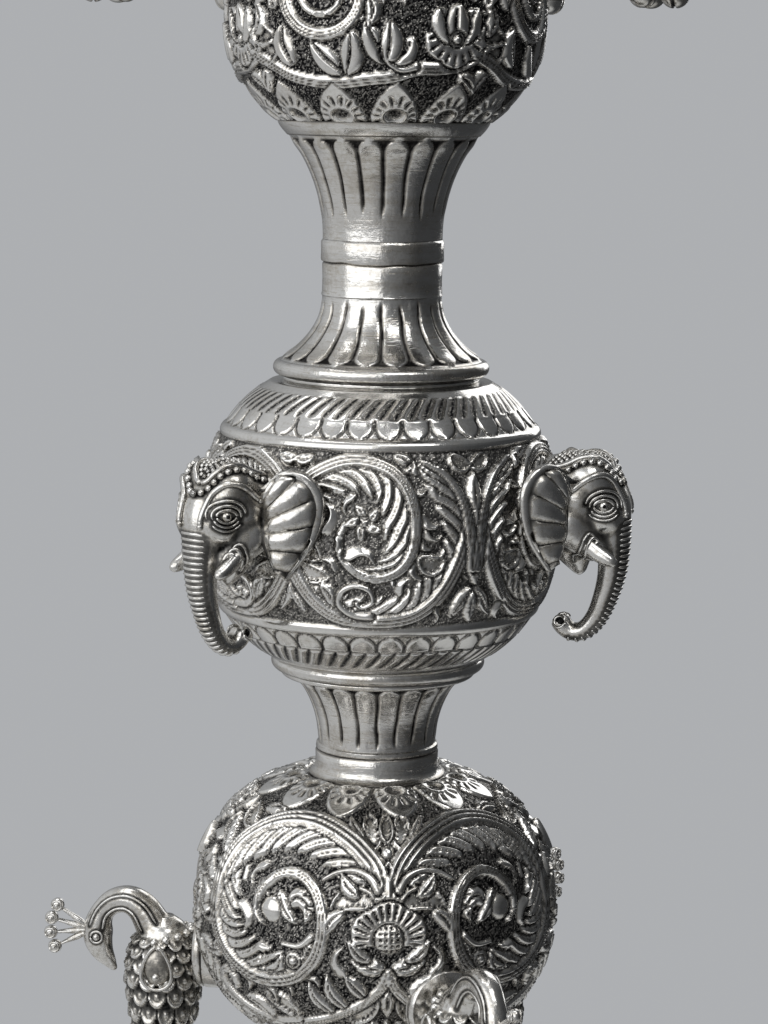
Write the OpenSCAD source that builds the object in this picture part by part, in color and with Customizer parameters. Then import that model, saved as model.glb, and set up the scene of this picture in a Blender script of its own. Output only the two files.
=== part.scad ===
// Standing oil lamp: raised silver shells stacked on a tie rod, with cast elephant heads and
// peacocks, an oil dish with wick lips, swinging bunches of jingle bells and a turning finial.
// Millimetres. The lamp stands on z = 0 and its axis is Z. Azimuth 0 faces -Y, and +90 faces +X.

/* [Base] */
// Radius of the base plate
base_r = 156; // [154:1:190]
// Thickness of the base plate
plate_h = 14; // [13:0.5:22]
// Outer radius of the base dome where it stands on the plate
dome_r = 148; // [130:1:152]
// Height of the base dome
dome_h = 88; // [60:1:120]
// Height of the upright band at the foot of the dome
dome_band_h = 14; // [8:1:24]

/* [Sheet metal] */
// Wall thickness of the raised shells
wall = 1.2; // [0.8:0.1:2]
// Thickness of the flat seat at each end of a shell
seat_t = 2; // [1.5:0.1:3]
// Radius of the hole in the seats
socket_r = 20; // [18:0.5:22]
// Height of the steps that centre one piece on the next
register_h = 2.5; // [1.5:0.1:3.5]
// Clearance of a centring step, all round
fit = 0.3; // [0.2:0.05:0.5]
// Radius of the bore inside the solid rings
bore_r = 13; // [9:0.5:15]

/* [Bulbs] */
// Radius of the lower bulb
lower_bulb_r = 77.8; // [70:0.1:86]
// Height of the lower bulb between its seats
lower_bulb_h = 114; // [100:1:130]
// Radius of the lower bulb's seats
lower_seat_r = 36; // [34:0.5:44]
// Radius of the elephant bulb
elephant_bulb_r = 75.5; // [68:0.1:92]
// Height of the elephant bulb between its seats
elephant_bulb_h = 117.6; // [105:0.1:135]
// Radius of the elephant bulb's seats
elephant_seat_r = 47; // [46:0.5:52]
// Radius of the upper bulb
upper_bulb_r = 65.8; // [58:0.1:74]
// Height of the upper bulb between its seats
upper_bulb_h = 85.4; // [75:0.1:100]
// Radius of the upper bulb's seats
upper_seat_r = 50; // [46:0.5:52]

/* [Necks] */
// Radius of the plain part of the necks
neck_r = 25.5; // [24.5:0.1:31]
// Number of tongue flutes round a neck
flutes = 20; // [16:1:24]
// Depth of the grooves between the tongues
flute_depth = 1.6; // [0.8:0.1:2]
// Mouth radius of the pedestal neck, which flares down
pedestal_neck_r = 42; // [36:0.5:48]
// Height of the pedestal neck
pedestal_neck_h = 50; // [36:1:70]
// Mouth radius of the pedestal cup, which flares up
pedestal_cup_r = 34; // [33:0.5:40]
// Height of the pedestal cup
pedestal_cup_h = 43; // [36:1:60]
// Mouth radius of the lower neck, which flares up
lower_neck_r = 36; // [33:0.5:42]
// Height of the lower neck
lower_neck_h = 30; // [26:1:40]
// Height of the plain foot below the lower neck
foot_h = 14; // [10:1:20]
// Mouth radius of the upper neck's lower horn, which flares down
lower_horn_r = 43; // [36:0.5:45]
// Height of the upper neck's lower horn
lower_horn_h = 27; // [24:1:36]
// Mouth radius of the upper neck's upper horn, which flares up
upper_horn_r = 40; // [36:0.5:44]
// Height of the upper neck's upper horn
upper_horn_h = 43.4; // [36:0.1:56]
// Mouth radius of the crown neck under the oil dish, which flares up
crown_neck_r = 44; // [38:0.5:50]
// Height of the crown neck
crown_neck_h = 40; // [32:1:56]
// Height of the plain couplings between two horns
coupling_h = 24; // [16:1:32]

/* [Rings] */
// Radius of the thick rolled rings
ring_r = 46; // [45:0.5:50]
// Height of the thick rolled rings
ring_h = 9; // [7:0.1:12]
// Radius of the slim rings beside the bulbs
slim_ring_r = 45; // [44:0.5:48]
// Height of the slim rings
slim_ring_h = 6; // [5:0.1:9]

/* [Oil dish] */
// Radius of the dish at its rim
dish_r = 125; // [118:1:130]
// Depth of the dish
dish_depth = 36; // [28:1:46]
// Radius of the flat floor of the dish
dish_floor_r = 50; // [50:1:60]
// Wall thickness of the dish
dish_t = 2; // [1.5:0.1:3]
// Number of wick lips, and of bell bunches between them
lips = 5; // [3:1:7]
// Width of a wick lip
lip_w = 40; // [28:1:46]
// Reach of the lip tips from the axis
lip_reach = 150; // [146:1:153]
// Height of the lip walls
lip_h = 14; // [10:1:18]

/* [Bell bunches] */
// Distance of the bunches from the axis
bunch_r = 116; // [105:1:118]
// Azimuth of the first bunch
bunch_turn = 71; // [0:1:71]
// Number of rings in a chain
chain_rings = 9; // [5:1:10]
// Radius of a chain ring, to the middle of its wire
link_r = 5.5; // [4.5:0.1:6]
// Radius of the chain wire
link_wire = 0.9; // [0.7:0.05:1.1]
// Gap between rings that hang in one another
link_gap = 0.3; // [0.2:0.05:0.5]
// Radius of a jingle bell
bell_r = 6.6; // [5.5:0.1:7.5]
// Wall thickness of a jingle bell
bell_wall = 0.8; // [0.6:0.05:1.1]
// Width of the slit in a jingle bell
bell_slit = 1.6; // [1:0.1:2]
// Radius of the pellet in a jingle bell
pellet_r = 1.9; // [1.4:0.1:2.4]

/* [Castings] */
// Azimuth of the first elephant head
elephant_turn = 75; // [0:1:119]
// Azimuth of the first peacock
peacock_turn = 23; // [0:1:119]
// Height of the peacocks' stubs below the middle of the lower bulb
peacock_drop = 26; // [20:0.5:30]
// Gap between a casting and the shell that it is bolted to
casting_gap = 0.2; // [0.1:0.05:0.4]
// Radius of the studs that hold the castings
stud_r = 2.5; // [2:0.1:3]
// Clearance round a stud
stud_gap = 0.25; // [0.15:0.05:0.4]
// Radius of a peacock's stub
stub_r = 17; // [14:0.5:19]

/* [Tie rod and finial] */
// Radius of the tie rod
rod_r = 5; // [4:0.5:6]
// Clearance round the tie rod
rod_gap = 0.3; // [0.2:0.05:0.5]
// Half the width across the corners of the rod nuts
nut_r = 9.2; // [8:0.1:11]
// Height of the rod nuts
nut_h = 7; // [6:0.1:8]
// Radius of the rod washers
washer_r = 13; // [11.5:0.5:14]
// Thickness of the rod washers
washer_t = 1.6; // [1:0.1:2]
// Radius of the sleeve under the finial
sleeve_r = 22; // [19:0.5:26]
// Height of the sleeve under the finial
sleeve_h = 26; // [22:1:34]
// Largest radius of the finial
finial_r = 21; // [16:0.5:26]
// Height of the finial
finial_h = 96; // [70:1:120]
// Gap under the finial, which lets it turn
turn_gap = 0.3; // [0.2:0.05:0.5]

/* [Hidden] */
$fn = 48;
SILVER = [0.72, 0.72, 0.70];
DARK_SILVER = [0.45, 0.45, 0.44];
STEEL = [0.55, 0.56, 0.58];
IRON = [0.22, 0.22, 0.23];

// Roundness of each bulb's outline: 2 is an ellipse, and more is squarer
lower_round = 2.3;
elephant_round = 2.4;
upper_round = 2;
// How fast a horn opens
horn_power = 2.2;

// Heights of the joints between the pieces, from the floor up
dome_z = plate_h;
pedestal_ring_z = dome_z + dome_h;
pedestal_neck_z = pedestal_ring_z + ring_h;
pedestal_coupling_z = pedestal_neck_z + pedestal_neck_h;
pedestal_cup_z = pedestal_coupling_z + coupling_h;
cup_ring_z = pedestal_cup_z + pedestal_cup_h;
lower_bulb_z = cup_ring_z + slim_ring_h;
foot_z = lower_bulb_z + lower_bulb_h;
lower_neck_z = foot_z + foot_h;
collar_z = lower_neck_z + lower_neck_h;
elephant_bulb_z = collar_z + ring_h;
neck_ring_z = elephant_bulb_z + elephant_bulb_h;
lower_horn_z = neck_ring_z + ring_h;
neck_coupling_z = lower_horn_z + lower_horn_h;
upper_horn_z = neck_coupling_z + coupling_h;
upper_ring_z = upper_horn_z + upper_horn_h;
upper_bulb_z = upper_ring_z + slim_ring_h;
crown_ring_z = upper_bulb_z + upper_bulb_h;
crown_neck_z = crown_ring_z + slim_ring_h;
dish_z = crown_neck_z + crown_neck_h;
sleeve_z = dish_z + dish_t;
finial_z = sleeve_z + sleeve_h + turn_gap;

lower_mid_z = lower_bulb_z + lower_bulb_h / 2;
elephant_mid_z = elephant_bulb_z + elephant_bulb_h / 2;
upper_mid_z = upper_bulb_z + upper_bulb_h / 2;

spigot_r = socket_r - fit;
rod_hole_r = rod_r + rod_gap;
rod_low_z = 1;
finial_bore_h = 16;
thread_gap = 0.1;

// Points along one half turn of a round outline
bulb_steps = 16;

function reversed(list) = [for (i = [len(list) - 1:-1:0]) list[i]];
function blend(a, b, t) = a + (b - a) * t;

// Turns local +X, which points away from the axis, to an azimuth
module at_azimuth(azimuth) {
    rotate([0, 0, azimuth - 90])
        children();
}

// Outline of a bulb about its middle
function bulb_reach(r, h, seat, power) = h / 2 / pow(1 - pow(seat / r, power), 1 / power);
function bulb_radius(z, r, reach, power) = r * pow(1 - pow(abs(z) / reach, power), 1 / power);
function bulb_outline(r, half_h, reach, power) = [
    for (i = [0:bulb_steps])
        let (z = half_h * sin(-90 + 180 * i / bulb_steps))
        [bulb_radius(z, r, reach, power), z]
];

// A hollow bulb with a flat, holed seat at each end
module bulb_shell(r, h, seat, power) {
    reach = bulb_reach(r, h, seat, power);
    inner_h = h / 2 - seat_t;
    inner = bulb_outline(r - wall, inner_h, reach - wall, power);
    rotate_extrude()
        polygon(concat(
            [[socket_r, -h / 2]],
            bulb_outline(r, h / 2, reach, power),
            [[socket_r, h / 2], [socket_r, inner_h]],
            reversed(inner),
            [[socket_r, -inner_h]]
        ));
}

// The space that a bulb fills, grown by a gap, for cutting a casting to its surface
module bulb_space(r, h, seat, power, gap) {
    reach = bulb_reach(r, h, seat, power);
    rotate_extrude()
        polygon(concat(
            [[0, -h / 2]],
            bulb_outline(r + gap, h / 2, reach + gap, power),
            [[0, h / 2]]
        ));
}

// A solid rolled ring with a centring step below and above
module rolled_ring(r, h, low_r, low_h, high_r, high_h) {
    rotate_extrude() {
        translate([bore_r, 0])
            square([r - h / 2 - bore_r, h]);
        translate([r - h / 2, h / 2])
            circle(d = h);
        translate([bore_r, -low_h])
            square([low_r - bore_r, low_h + h / 2]);
        translate([bore_r, h / 2])
            square([high_r - bore_r, h / 2 + high_h]);
    }
}

// A plain sleeve between two horns, with a grooved band at its upper end
module plain_coupling(low_r, high_r) {
    groove = 0.8;
    band_z = coupling_h * 0.6;
    rotate_extrude()
        polygon([
            [bore_r, -register_h],
            [low_r, -register_h],
            [low_r, 0],
            [neck_r, 0],
            [neck_r, band_z - groove],
            [neck_r - groove, band_z],
            [neck_r + groove / 2, band_z + groove],
            [neck_r + groove / 2, coupling_h - groove],
            [neck_r, coupling_h],
            [high_r, coupling_h],
            [high_r, coupling_h + register_h],
            [bore_r, coupling_h + register_h]
        ]);
}

// A fluted horn: lobes of three facets between grooves that run out at both ends
flute_facets = 3;
horn_levels = [0, 0.12, 0.5, 0.9, 1];
horn_inner_levels = [0, 0.4, 0.75, 1];
function horn_radius(t, mouth) = blend(neck_r, mouth, pow(t, horn_power));
function is_end(t) = t == 0 || t == 1;
function horn_outer(mouth, h) = [
    for (t = horn_levels) [horn_radius(t, mouth), h * t, is_end(t) ? 0 : flute_depth]
];
function horn_inner(mouth, h) = [
    for (t = horn_inner_levels)
        [horn_radius(t, mouth) - wall - (is_end(t) ? 0 : 2 * flute_depth), h * t, 0]
];
// Radii of the centring steps that go into a horn's mouth and into its narrow end
function horn_bore(mouth, h, z) = lookup(z, [for (level = horn_inner(mouth, h)) [level[1], level[0]]]);
function mouth_step(mouth, h) = min(horn_bore(mouth, h, h), horn_bore(mouth, h, h - register_h)) - fit;
function narrow_step(mouth, h) = min(horn_bore(mouth, h, 0), horn_bore(mouth, h, register_h)) - fit;
module fluted_horn(mouth, h) {
    section = concat(horn_outer(mouth, h), reversed(horn_inner(mouth, h)));
    around = flutes * flute_facets;
    rows = len(section);
    points = [
        for (level = section, j = [0:around - 1])
            let (r = level[0] - (j % flute_facets == 0 ? level[2] : 0))
            [r * cos(360 * j / around), r * sin(360 * j / around), level[1]]
    ];
    faces = [
        for (i = [0:rows - 1], j = [0:around - 1])
            let (
                up = (i + 1) % rows,
                next = (j + 1) % around,
                corner = up * around + next
            )
            each [[i * around + j, up * around + j, corner], [i * around + j, corner, i * around + next]]
    ];
    polyhedron(points, faces);
}

// A horn that flares down instead of up
module hung_horn(mouth, h) {
    translate([0, 0, h])
        rotate([180, 0, 0])
            fluted_horn(mouth, h);
}

// A tapering limb along a path in the local XZ plane. Each row holds x, z and the two half widths.
module limb(rows, sides) {
    last = len(rows) - 1;
    function heading(i) = let (
        a = rows[max(i - 1, 0)],
        b = rows[min(i + 1, last)],
        d = [b[0] - a[0], b[1] - a[1]]
    ) d / norm(d);
    points = [
        for (i = [0:last], j = [0:sides - 1])
            let (
                t = heading(i),
                a = rows[i][2] * cos(360 * j / sides),
                b = rows[i][3] * sin(360 * j / sides)
            )
            [rows[i][0] - a * t[1], b, rows[i][1] + a * t[0]]
    ];
    faces = concat(
        [[for (j = [sides - 1:-1:0]) j]],
        [
            for (i = [0:last - 1], j = [0:sides - 1])
                let (next = (j + 1) % sides, here = i * sides, up = here + sides)
                each [[here + j, here + next, up + next], [here + j, up + next, up + j]]
        ],
        [[for (j = [0:sides - 1]) last * sides + j]]
    );
    polyhedron(points, faces);
}

module ball(x, y, z, r) {
    translate([x, y, z])
        sphere(r);
}

// Base
module base_plate() {
    edge = 3;
    register_r = dome_r - wall - fit;
    well_r = washer_r + 2;
    well_h = rod_low_z + nut_h + washer_t;
    color(IRON)
        difference() {
            rotate_extrude() {
                square([base_r - edge, plate_h]);
                translate([0, edge])
                    square([base_r, plate_h - 2 * edge]);
                for (z = [edge, plate_h - edge])
                    translate([base_r - edge, z])
                        circle(r = edge);
                translate([0, plate_h / 2])
                    square([register_r, plate_h / 2 + register_h]);
            }
            translate([0, 0, -1])
                cylinder(r = rod_hole_r, h = plate_h + register_h + 2);
            translate([0, 0, -1])
                cylinder(r = well_r, h = well_h + 1);
        }
}

dome_steps = 20;
function dome_outline(low_r, high_r, low_z, high_z) = [
    for (i = [0:dome_steps])
        let (t = i / dome_steps)
        [blend(low_r, high_r, pow((1 - cos(180 * t)) / 2, 0.8)), blend(low_z, high_z, t)]
];
module base_dome() {
    step = 4;
    top_r = ring_r + 2;
    outer = dome_outline(dome_r - step, top_r, dome_band_h + step, dome_h);
    inner = dome_outline(dome_r - step - 2 * wall, top_r - 2 * wall, dome_band_h + step, dome_h - seat_t);
    color(SILVER)
        translate([0, 0, dome_z])
            rotate_extrude()
                polygon(concat(
                    [[dome_r - wall, 0], [dome_r, 0], [dome_r, dome_band_h]],
                    outer,
                    [[socket_r, dome_h], [socket_r, dome_h - seat_t]],
                    reversed(inner),
                    [[dome_r - wall, dome_band_h - wall]]
                ));
}

module pedestal_ring() {
    color(SILVER)
        translate([0, 0, pedestal_ring_z])
            rolled_ring(
                ring_r, ring_h,
                spigot_r, register_h, mouth_step(pedestal_neck_r, pedestal_neck_h), register_h
            );
}

module pedestal_neck() {
    color(SILVER)
        translate([0, 0, pedestal_neck_z])
            hung_horn(pedestal_neck_r, pedestal_neck_h);
}

module pedestal_coupling() {
    color(SILVER)
        translate([0, 0, pedestal_coupling_z])
            plain_coupling(
                narrow_step(pedestal_neck_r, pedestal_neck_h), narrow_step(pedestal_cup_r, pedestal_cup_h)
            );
}

module pedestal_cup() {
    color(SILVER)
        translate([0, 0, pedestal_cup_z])
            fluted_horn(pedestal_cup_r, pedestal_cup_h);
}

module cup_ring() {
    color(SILVER)
        translate([0, 0, cup_ring_z])
            rolled_ring(
                pedestal_cup_r + slim_ring_h / 2, slim_ring_h,
                mouth_step(pedestal_cup_r, pedestal_cup_h), register_h, spigot_r, register_h
            );
}

// Lower bulb and its peacocks
lower_reach = bulb_reach(lower_bulb_r, lower_bulb_h, lower_seat_r, lower_round);
stub_z = lower_mid_z - peacock_drop;
stub_out_r = lower_bulb_r + 1;
peacock_azimuths = [for (i = [0:2]) peacock_turn + 120 * i];

// A rod along local +X at the height of the stubs
module stub_bar(r, from_x, to_x) {
    translate([from_x, 0, stub_z])
        rotate([0, 90, 0])
            cylinder(r = r, h = to_x - from_x);
}

module lower_bulb() {
    color(SILVER)
        difference() {
            translate([0, 0, lower_mid_z])
                bulb_shell(lower_bulb_r, lower_bulb_h, lower_seat_r, lower_round);
            for (azimuth = peacock_azimuths)
                at_azimuth(azimuth)
                    stub_bar(stud_r + stud_gap, lower_bulb_r / 2, lower_bulb_r + 1);
        }
}

module peacock_stubs() {
    color(SILVER)
        for (azimuth = peacock_azimuths)
            at_azimuth(azimuth)
                difference() {
                    stub_bar(stub_r, lower_bulb_r - stub_r, stub_out_r);
                    translate([0, 0, lower_mid_z])
                        bulb_space(lower_bulb_r, lower_bulb_h, lower_seat_r, lower_round, casting_gap);
                    stub_bar(stud_r + stud_gap, lower_bulb_r / 2, stub_out_r + 1);
                }
}

// Lengths of a stud inside and outside the shell that it goes through
stud_in = 13;
stud_out = 12;
small_nut_r = 2 * stud_r;
small_nut_h = 1.6 * stud_r;
peacock_nut_low = peacock_drop + small_nut_r;
peacock_wall_r = bulb_radius(peacock_nut_low, lower_bulb_r - wall, lower_reach - wall, lower_round);

module peacock_studs() {
    color(STEEL)
        for (azimuth = peacock_azimuths)
            at_azimuth(azimuth)
                stub_bar(stud_r, peacock_wall_r - stud_in / 2, stub_out_r + stud_out);
}

module peacock_nuts() {
    color(STEEL)
        for (azimuth = peacock_azimuths)
            at_azimuth(azimuth)
                difference() {
                    translate([peacock_wall_r - casting_gap - small_nut_h, 0, stub_z])
                        rotate([0, 90, 0])
                            cylinder(r = small_nut_r, h = small_nut_h, $fn = 6);
                    stub_bar(stud_r + thread_gap, peacock_wall_r - stud_in, stub_out_r);
                }
}

// The peacock hangs beside the bulb: x runs out from its back plane and z up from its stub
module peacock_body() {
    limb([
        [14, 14, 5, 6], [14, 9, 11, 11], [14.5, 0, 15.5, 14.5], [15, -12, 17, 16], [15, -27, 15.5, 15],
        [16, -42, 12.5, 13.5], [17.5, -56, 9, 11], [19, -66, 5, 7.5], [20, -71, 2, 4]
    ], 12);
}

module peacock_neck() {
    limb([
        [17, 2, 9, 9], [20, 10, 8, 8], [24.5, 17, 7, 7], [30.5, 20.5, 6.2, 6.2], [37, 19.5, 5.6, 5.6],
        [42, 15, 5.2, 5.2], [44.5, 8.5, 5.6, 5.4], [45, 2, 5.2, 5], [42.5, -4, 3.6, 3.4], [38.5, -9, 2, 1.8],
        [35.5, -12.5, 0.7, 0.6]
    ], 9);
}

crest_feathers = 4;
module peacock_crest() {
    root = [47, 0, 6];
    for (i = [0:crest_feathers - 1]) {
        lean = blend(34, -26, i / (crest_feathers - 1));
        along = [cos(lean), 0, sin(lean)];
        bead = root + 19 * along;
        hull() {
            ball(root[0], root[1], root[2], 1.6, $fn = 6);
            ball((root + 13 * along)[0], 0, (root + 13 * along)[2], 1.9, $fn = 6);
        }
        hull() {
            ball((root + 12 * along)[0], 0, (root + 12 * along)[2], 1.4, $fn = 6);
            ball(bead[0], bead[1], bead[2], 3.2, $fn = 8);
        }
    }
}

module peacock_wings() {
    for (side = [-1, 1])
        hull() {
            ball(15, side * 12.5, -2, 5, $fn = 10);
            ball(15, side * 12.5, -12, 4.2, $fn = 8);
            ball(12, side * 11, -24, 1.6, $fn = 6);
        }
}

module peacock(azimuth) {
    back_cut = 50;
    color(DARK_SILVER)
        at_azimuth(azimuth)
            difference() {
                translate([stub_out_r + casting_gap, 0, stub_z])
                    difference() {
                        union() {
                            peacock_body();
                            peacock_neck();
                            peacock_crest();
                            peacock_wings();
                        }
                        translate([-back_cut, -back_cut, -2 * back_cut])
                            cube([back_cut, 2 * back_cut, 4 * back_cut]);
                    }
                stub_bar(stud_r + stud_gap, lower_bulb_r, stub_out_r + stud_out + 1, $fn = 12);
            }
}

module peacock_front() {
    peacock(peacock_azimuths[0]);
}

module peacock_rear() {
    peacock(peacock_azimuths[1]);
}

module peacock_left() {
    peacock(peacock_azimuths[2]);
}

// Lower neck
module lower_foot() {
    step = 1;
    flare = 3;
    flare_h = foot_h * 0.4;
    step_r = narrow_step(lower_neck_r, lower_neck_h);
    groove = 0.8;
    steps = 6;
    color(SILVER)
        translate([0, 0, foot_z])
            rotate_extrude()
                polygon(concat(
                    [[bore_r, -register_h - seat_t], [spigot_r, -register_h - seat_t], [spigot_r, 0]],
                    [[neck_r + step + flare, 0]],
                    [for (i = [0:steps])
                        let (t = i / steps)
                        [neck_r + step + flare * pow(1 - t, 2), step + flare_h * t]],
                    [
                        [neck_r + step, foot_h - 2 * groove],
                        [neck_r, foot_h - groove],
                        [neck_r, foot_h],
                        [step_r, foot_h],
                        [step_r, foot_h + register_h],
                        [bore_r, foot_h + register_h]
                    ]
                ));
}

module lower_neck() {
    color(SILVER)
        translate([0, 0, lower_neck_z])
            fluted_horn(lower_neck_r, lower_neck_h);
}

module collar_ring() {
    color(SILVER)
        translate([0, 0, collar_z])
            rolled_ring(
                ring_r, ring_h, mouth_step(lower_neck_r, lower_neck_h), register_h, spigot_r, register_h
            );
}

// Elephant bulb and its elephant heads
elephant_reach = bulb_reach(elephant_bulb_r, elephant_bulb_h, elephant_seat_r, elephant_round);
elephant_stud_up = 8;
elephant_azimuths = [for (i = [0:2]) elephant_turn + 120 * i];
elephant_nut_top = elephant_stud_up + small_nut_r;
elephant_shell_r = elephant_bulb_r - wall;
elephant_inner_r = bulb_radius(elephant_nut_top, elephant_shell_r, elephant_reach - wall, elephant_round);
elephant_wall_r = sqrt(elephant_inner_r * elephant_inner_r - small_nut_r * small_nut_r);
elephant_nut_r = elephant_wall_r - casting_gap - small_nut_h;

module head_bar(r, from_x, to_x) {
    translate([from_x, 0, elephant_mid_z + elephant_stud_up])
        rotate([0, 90, 0])
            cylinder(r = r, h = to_x - from_x);
}

module elephant_bulb() {
    color(SILVER)
        difference() {
            translate([0, 0, elephant_mid_z])
                bulb_shell(elephant_bulb_r, elephant_bulb_h, elephant_seat_r, elephant_round);
            for (azimuth = elephant_azimuths)
                at_azimuth(azimuth)
                    head_bar(stud_r + stud_gap, elephant_bulb_r / 2, elephant_bulb_r + 1);
        }
}

module elephant_studs() {
    color(STEEL)
        for (azimuth = elephant_azimuths)
            at_azimuth(azimuth)
                head_bar(stud_r, elephant_wall_r - stud_in / 2, elephant_bulb_r + stud_out);
}

module elephant_nuts() {
    color(STEEL)
        for (azimuth = elephant_azimuths)
            at_azimuth(azimuth)
                difference() {
                    translate([elephant_nut_r, 0, elephant_mid_z + elephant_stud_up])
                        rotate([0, 90, 0])
                            cylinder(r = small_nut_r, h = small_nut_h, $fn = 6);
                    head_bar(stud_r + thread_gap, elephant_wall_r - stud_in, elephant_bulb_r);
                }
}

// The head looks out along +X: x runs out from the bulb's widest radius, z up from its middle
module elephant_skull() {
    hull() {
        ball(-6, 0, 10, 19, $fn = 14);
        ball(11, 0, 13.5, 18.5, $fn = 14);
    }
    for (side = [-1, 1]) {
        hull() {
            ball(16.5, side * 7.5, 21, 10.5, $fn = 10);
            ball(22.5, side * 5.5, 8, 10, $fn = 10);
        }
        hull() {
            ball(16.5, side * 9, 1, 8.5, $fn = 8);
            ball(21.5, side * 8.5, -9.5, 4.6, $fn = 8);
        }
    }
    hull() {
        ball(9, 0, -6, 9, $fn = 10);
        ball(12, 0, -17.5, 3.4, $fn = 8);
    }
}

module elephant_trunk() {
    limb([
        [21, 20, 8, 8.5], [23.5, 10, 10, 10.5], [25.5, 0, 8.6, 9.4], [26.2, -10, 7.4, 8],
        [25.6, -19.5, 6.5, 7], [23.2, -29, 5.7, 6.1], [19.8, -37.5, 5, 5.3], [15.4, -43.2, 4.2, 4.6],
        [10.4, -45, 3.5, 4], [6, -43, 3.2, 3.8], [3.6, -38.8, 3.4, 4.2]
    ], 12);
}

module elephant_tusks() {
    for (side = [-1, 1])
        translate([0, side * 9.5, 0])
            rotate([0, 0, side * 12])
                limb([
                    [20, -8, 3.4, 3.4], [25, -11.4, 3, 3], [29.4, -14, 2.4, 2.4], [32.8, -15.2, 1.3, 1.3]
                ], 8);
}

// Ears fold back from the cheek in fluted leaves
ear_root_x = 7;
ear_root_y = 18;
function ear_rim(i) = [
    [2, 29, 27], [-4.5, 34.5, 22], [-7, 37, 11], [-5.5, 34.5, -1], [0.5, 27, -11]
][i];
module elephant_ears() {
    for (side = [-1, 1], i = [0:3])
        hull() {
            ball(ear_root_x, side * ear_root_y, 18 - 6 * i, 2.2, $fn = 6);
            ball(ear_root_x, side * ear_root_y, 12 - 6 * i, 2.2, $fn = 6);
            ball(ear_rim(i)[0], side * ear_rim(i)[1], ear_rim(i)[2], 1.5, $fn = 6);
            ball(ear_rim(i + 1)[0], side * ear_rim(i + 1)[1], ear_rim(i + 1)[2], 1.5, $fn = 6);
        }
}

module elephant(azimuth) {
    cut_sides = 40;
    cut_gap = casting_gap + elephant_bulb_r * (1 / cos(180 / cut_sides) - 1);
    color(DARK_SILVER)
        at_azimuth(azimuth)
            difference() {
                translate([elephant_bulb_r, 0, elephant_mid_z])
                    union() {
                        elephant_skull();
                        elephant_trunk();
                        elephant_tusks();
                        elephant_ears();
                    }
                translate([0, 0, elephant_mid_z])
                    bulb_space(
                        elephant_bulb_r, elephant_bulb_h, elephant_seat_r, elephant_round, cut_gap,
                        $fn = cut_sides
                    );
                head_bar(stud_r + stud_gap, elephant_bulb_r / 2, elephant_bulb_r + stud_out + 1, $fn = 12);
            }
}

module elephant_right() {
    elephant(elephant_azimuths[0]);
}

module elephant_rear() {
    elephant(elephant_azimuths[1]);
}

module elephant_left() {
    elephant(elephant_azimuths[2]);
}

// Upper neck
module neck_ring() {
    color(SILVER)
        translate([0, 0, neck_ring_z])
            rolled_ring(
                ring_r, ring_h, spigot_r, register_h, mouth_step(lower_horn_r, lower_horn_h), register_h
            );
}

module lower_horn() {
    color(SILVER)
        translate([0, 0, lower_horn_z])
            hung_horn(lower_horn_r, lower_horn_h);
}

module neck_coupling() {
    color(SILVER)
        translate([0, 0, neck_coupling_z])
            plain_coupling(
                narrow_step(lower_horn_r, lower_horn_h), narrow_step(upper_horn_r, upper_horn_h)
            );
}

module upper_horn() {
    color(SILVER)
        translate([0, 0, upper_horn_z])
            fluted_horn(upper_horn_r, upper_horn_h);
}

module upper_ring() {
    color(SILVER)
        translate([0, 0, upper_ring_z])
            rolled_ring(
                slim_ring_r, slim_ring_h,
                mouth_step(upper_horn_r, upper_horn_h), register_h, spigot_r, register_h
            );
}

module upper_bulb() {
    color(SILVER)
        translate([0, 0, upper_mid_z])
            bulb_shell(upper_bulb_r, upper_bulb_h, upper_seat_r, upper_round);
}

module crown_ring() {
    color(SILVER)
        translate([0, 0, crown_ring_z])
            rolled_ring(
                slim_ring_r, slim_ring_h,
                spigot_r, register_h, narrow_step(crown_neck_r, crown_neck_h), register_h
            );
}

module crown_neck() {
    color(SILVER)
        translate([0, 0, crown_neck_z])
            fluted_horn(crown_neck_r, crown_neck_h);
}

// Oil dish
dish_steps = 12;
bunch_step = 360 / lips;
function dish_height(r) = dish_depth * pow((r - dish_floor_r) / (dish_r - dish_floor_r), 2);
function dish_curve(lift) = [
    for (i = [0:dish_steps])
        let (r = blend(dish_floor_r, dish_r, i / dish_steps))
        [r, dish_height(r) + lift]
];

// A pointed oval, made of two arcs, with its tip at lip_reach
module lip_outline(inset) {
    arc_r = 1.5 * lip_w;
    off = arc_r - lip_w / 2;
    half_l = sqrt(arc_r * arc_r - off * off);
    translate([lip_reach - half_l, 0])
        intersection() {
            translate([0, off])
                circle(r = arc_r - inset, $fn = 96);
            translate([0, -off])
                circle(r = arc_r - inset, $fn = 96);
        }
}

module dish_lips(inset, low_z, high_z) {
    for (i = [0:lips - 1])
        at_azimuth(bunch_turn + bunch_step * (i + 0.5))
            translate([0, 0, low_z])
                linear_extrude(high_z - low_z)
                    lip_outline(inset);
}

module dish_bowl() {
    roll_r = dish_t;
    step_r = mouth_step(crown_neck_r, crown_neck_h);
    rotate_extrude() {
        polygon(concat(
            [[rod_hole_r, 0]],
            dish_curve(0),
            reversed(dish_curve(dish_t)),
            [[rod_hole_r, dish_t]]
        ));
        translate([dish_r, dish_depth + dish_t / 2])
            circle(r = roll_r);
        translate([step_r - 2 * wall, -register_h])
            square([2 * wall, register_h + dish_t]);
    }
}

// The space inside the bowl, up past its rim
module dish_hollow() {
    rotate_extrude()
        polygon(concat(
            [[0, dish_t]],
            dish_curve(dish_t),
            [[dish_r, dish_depth + lip_h], [0, dish_depth + lip_h]]
        ));
}

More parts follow.
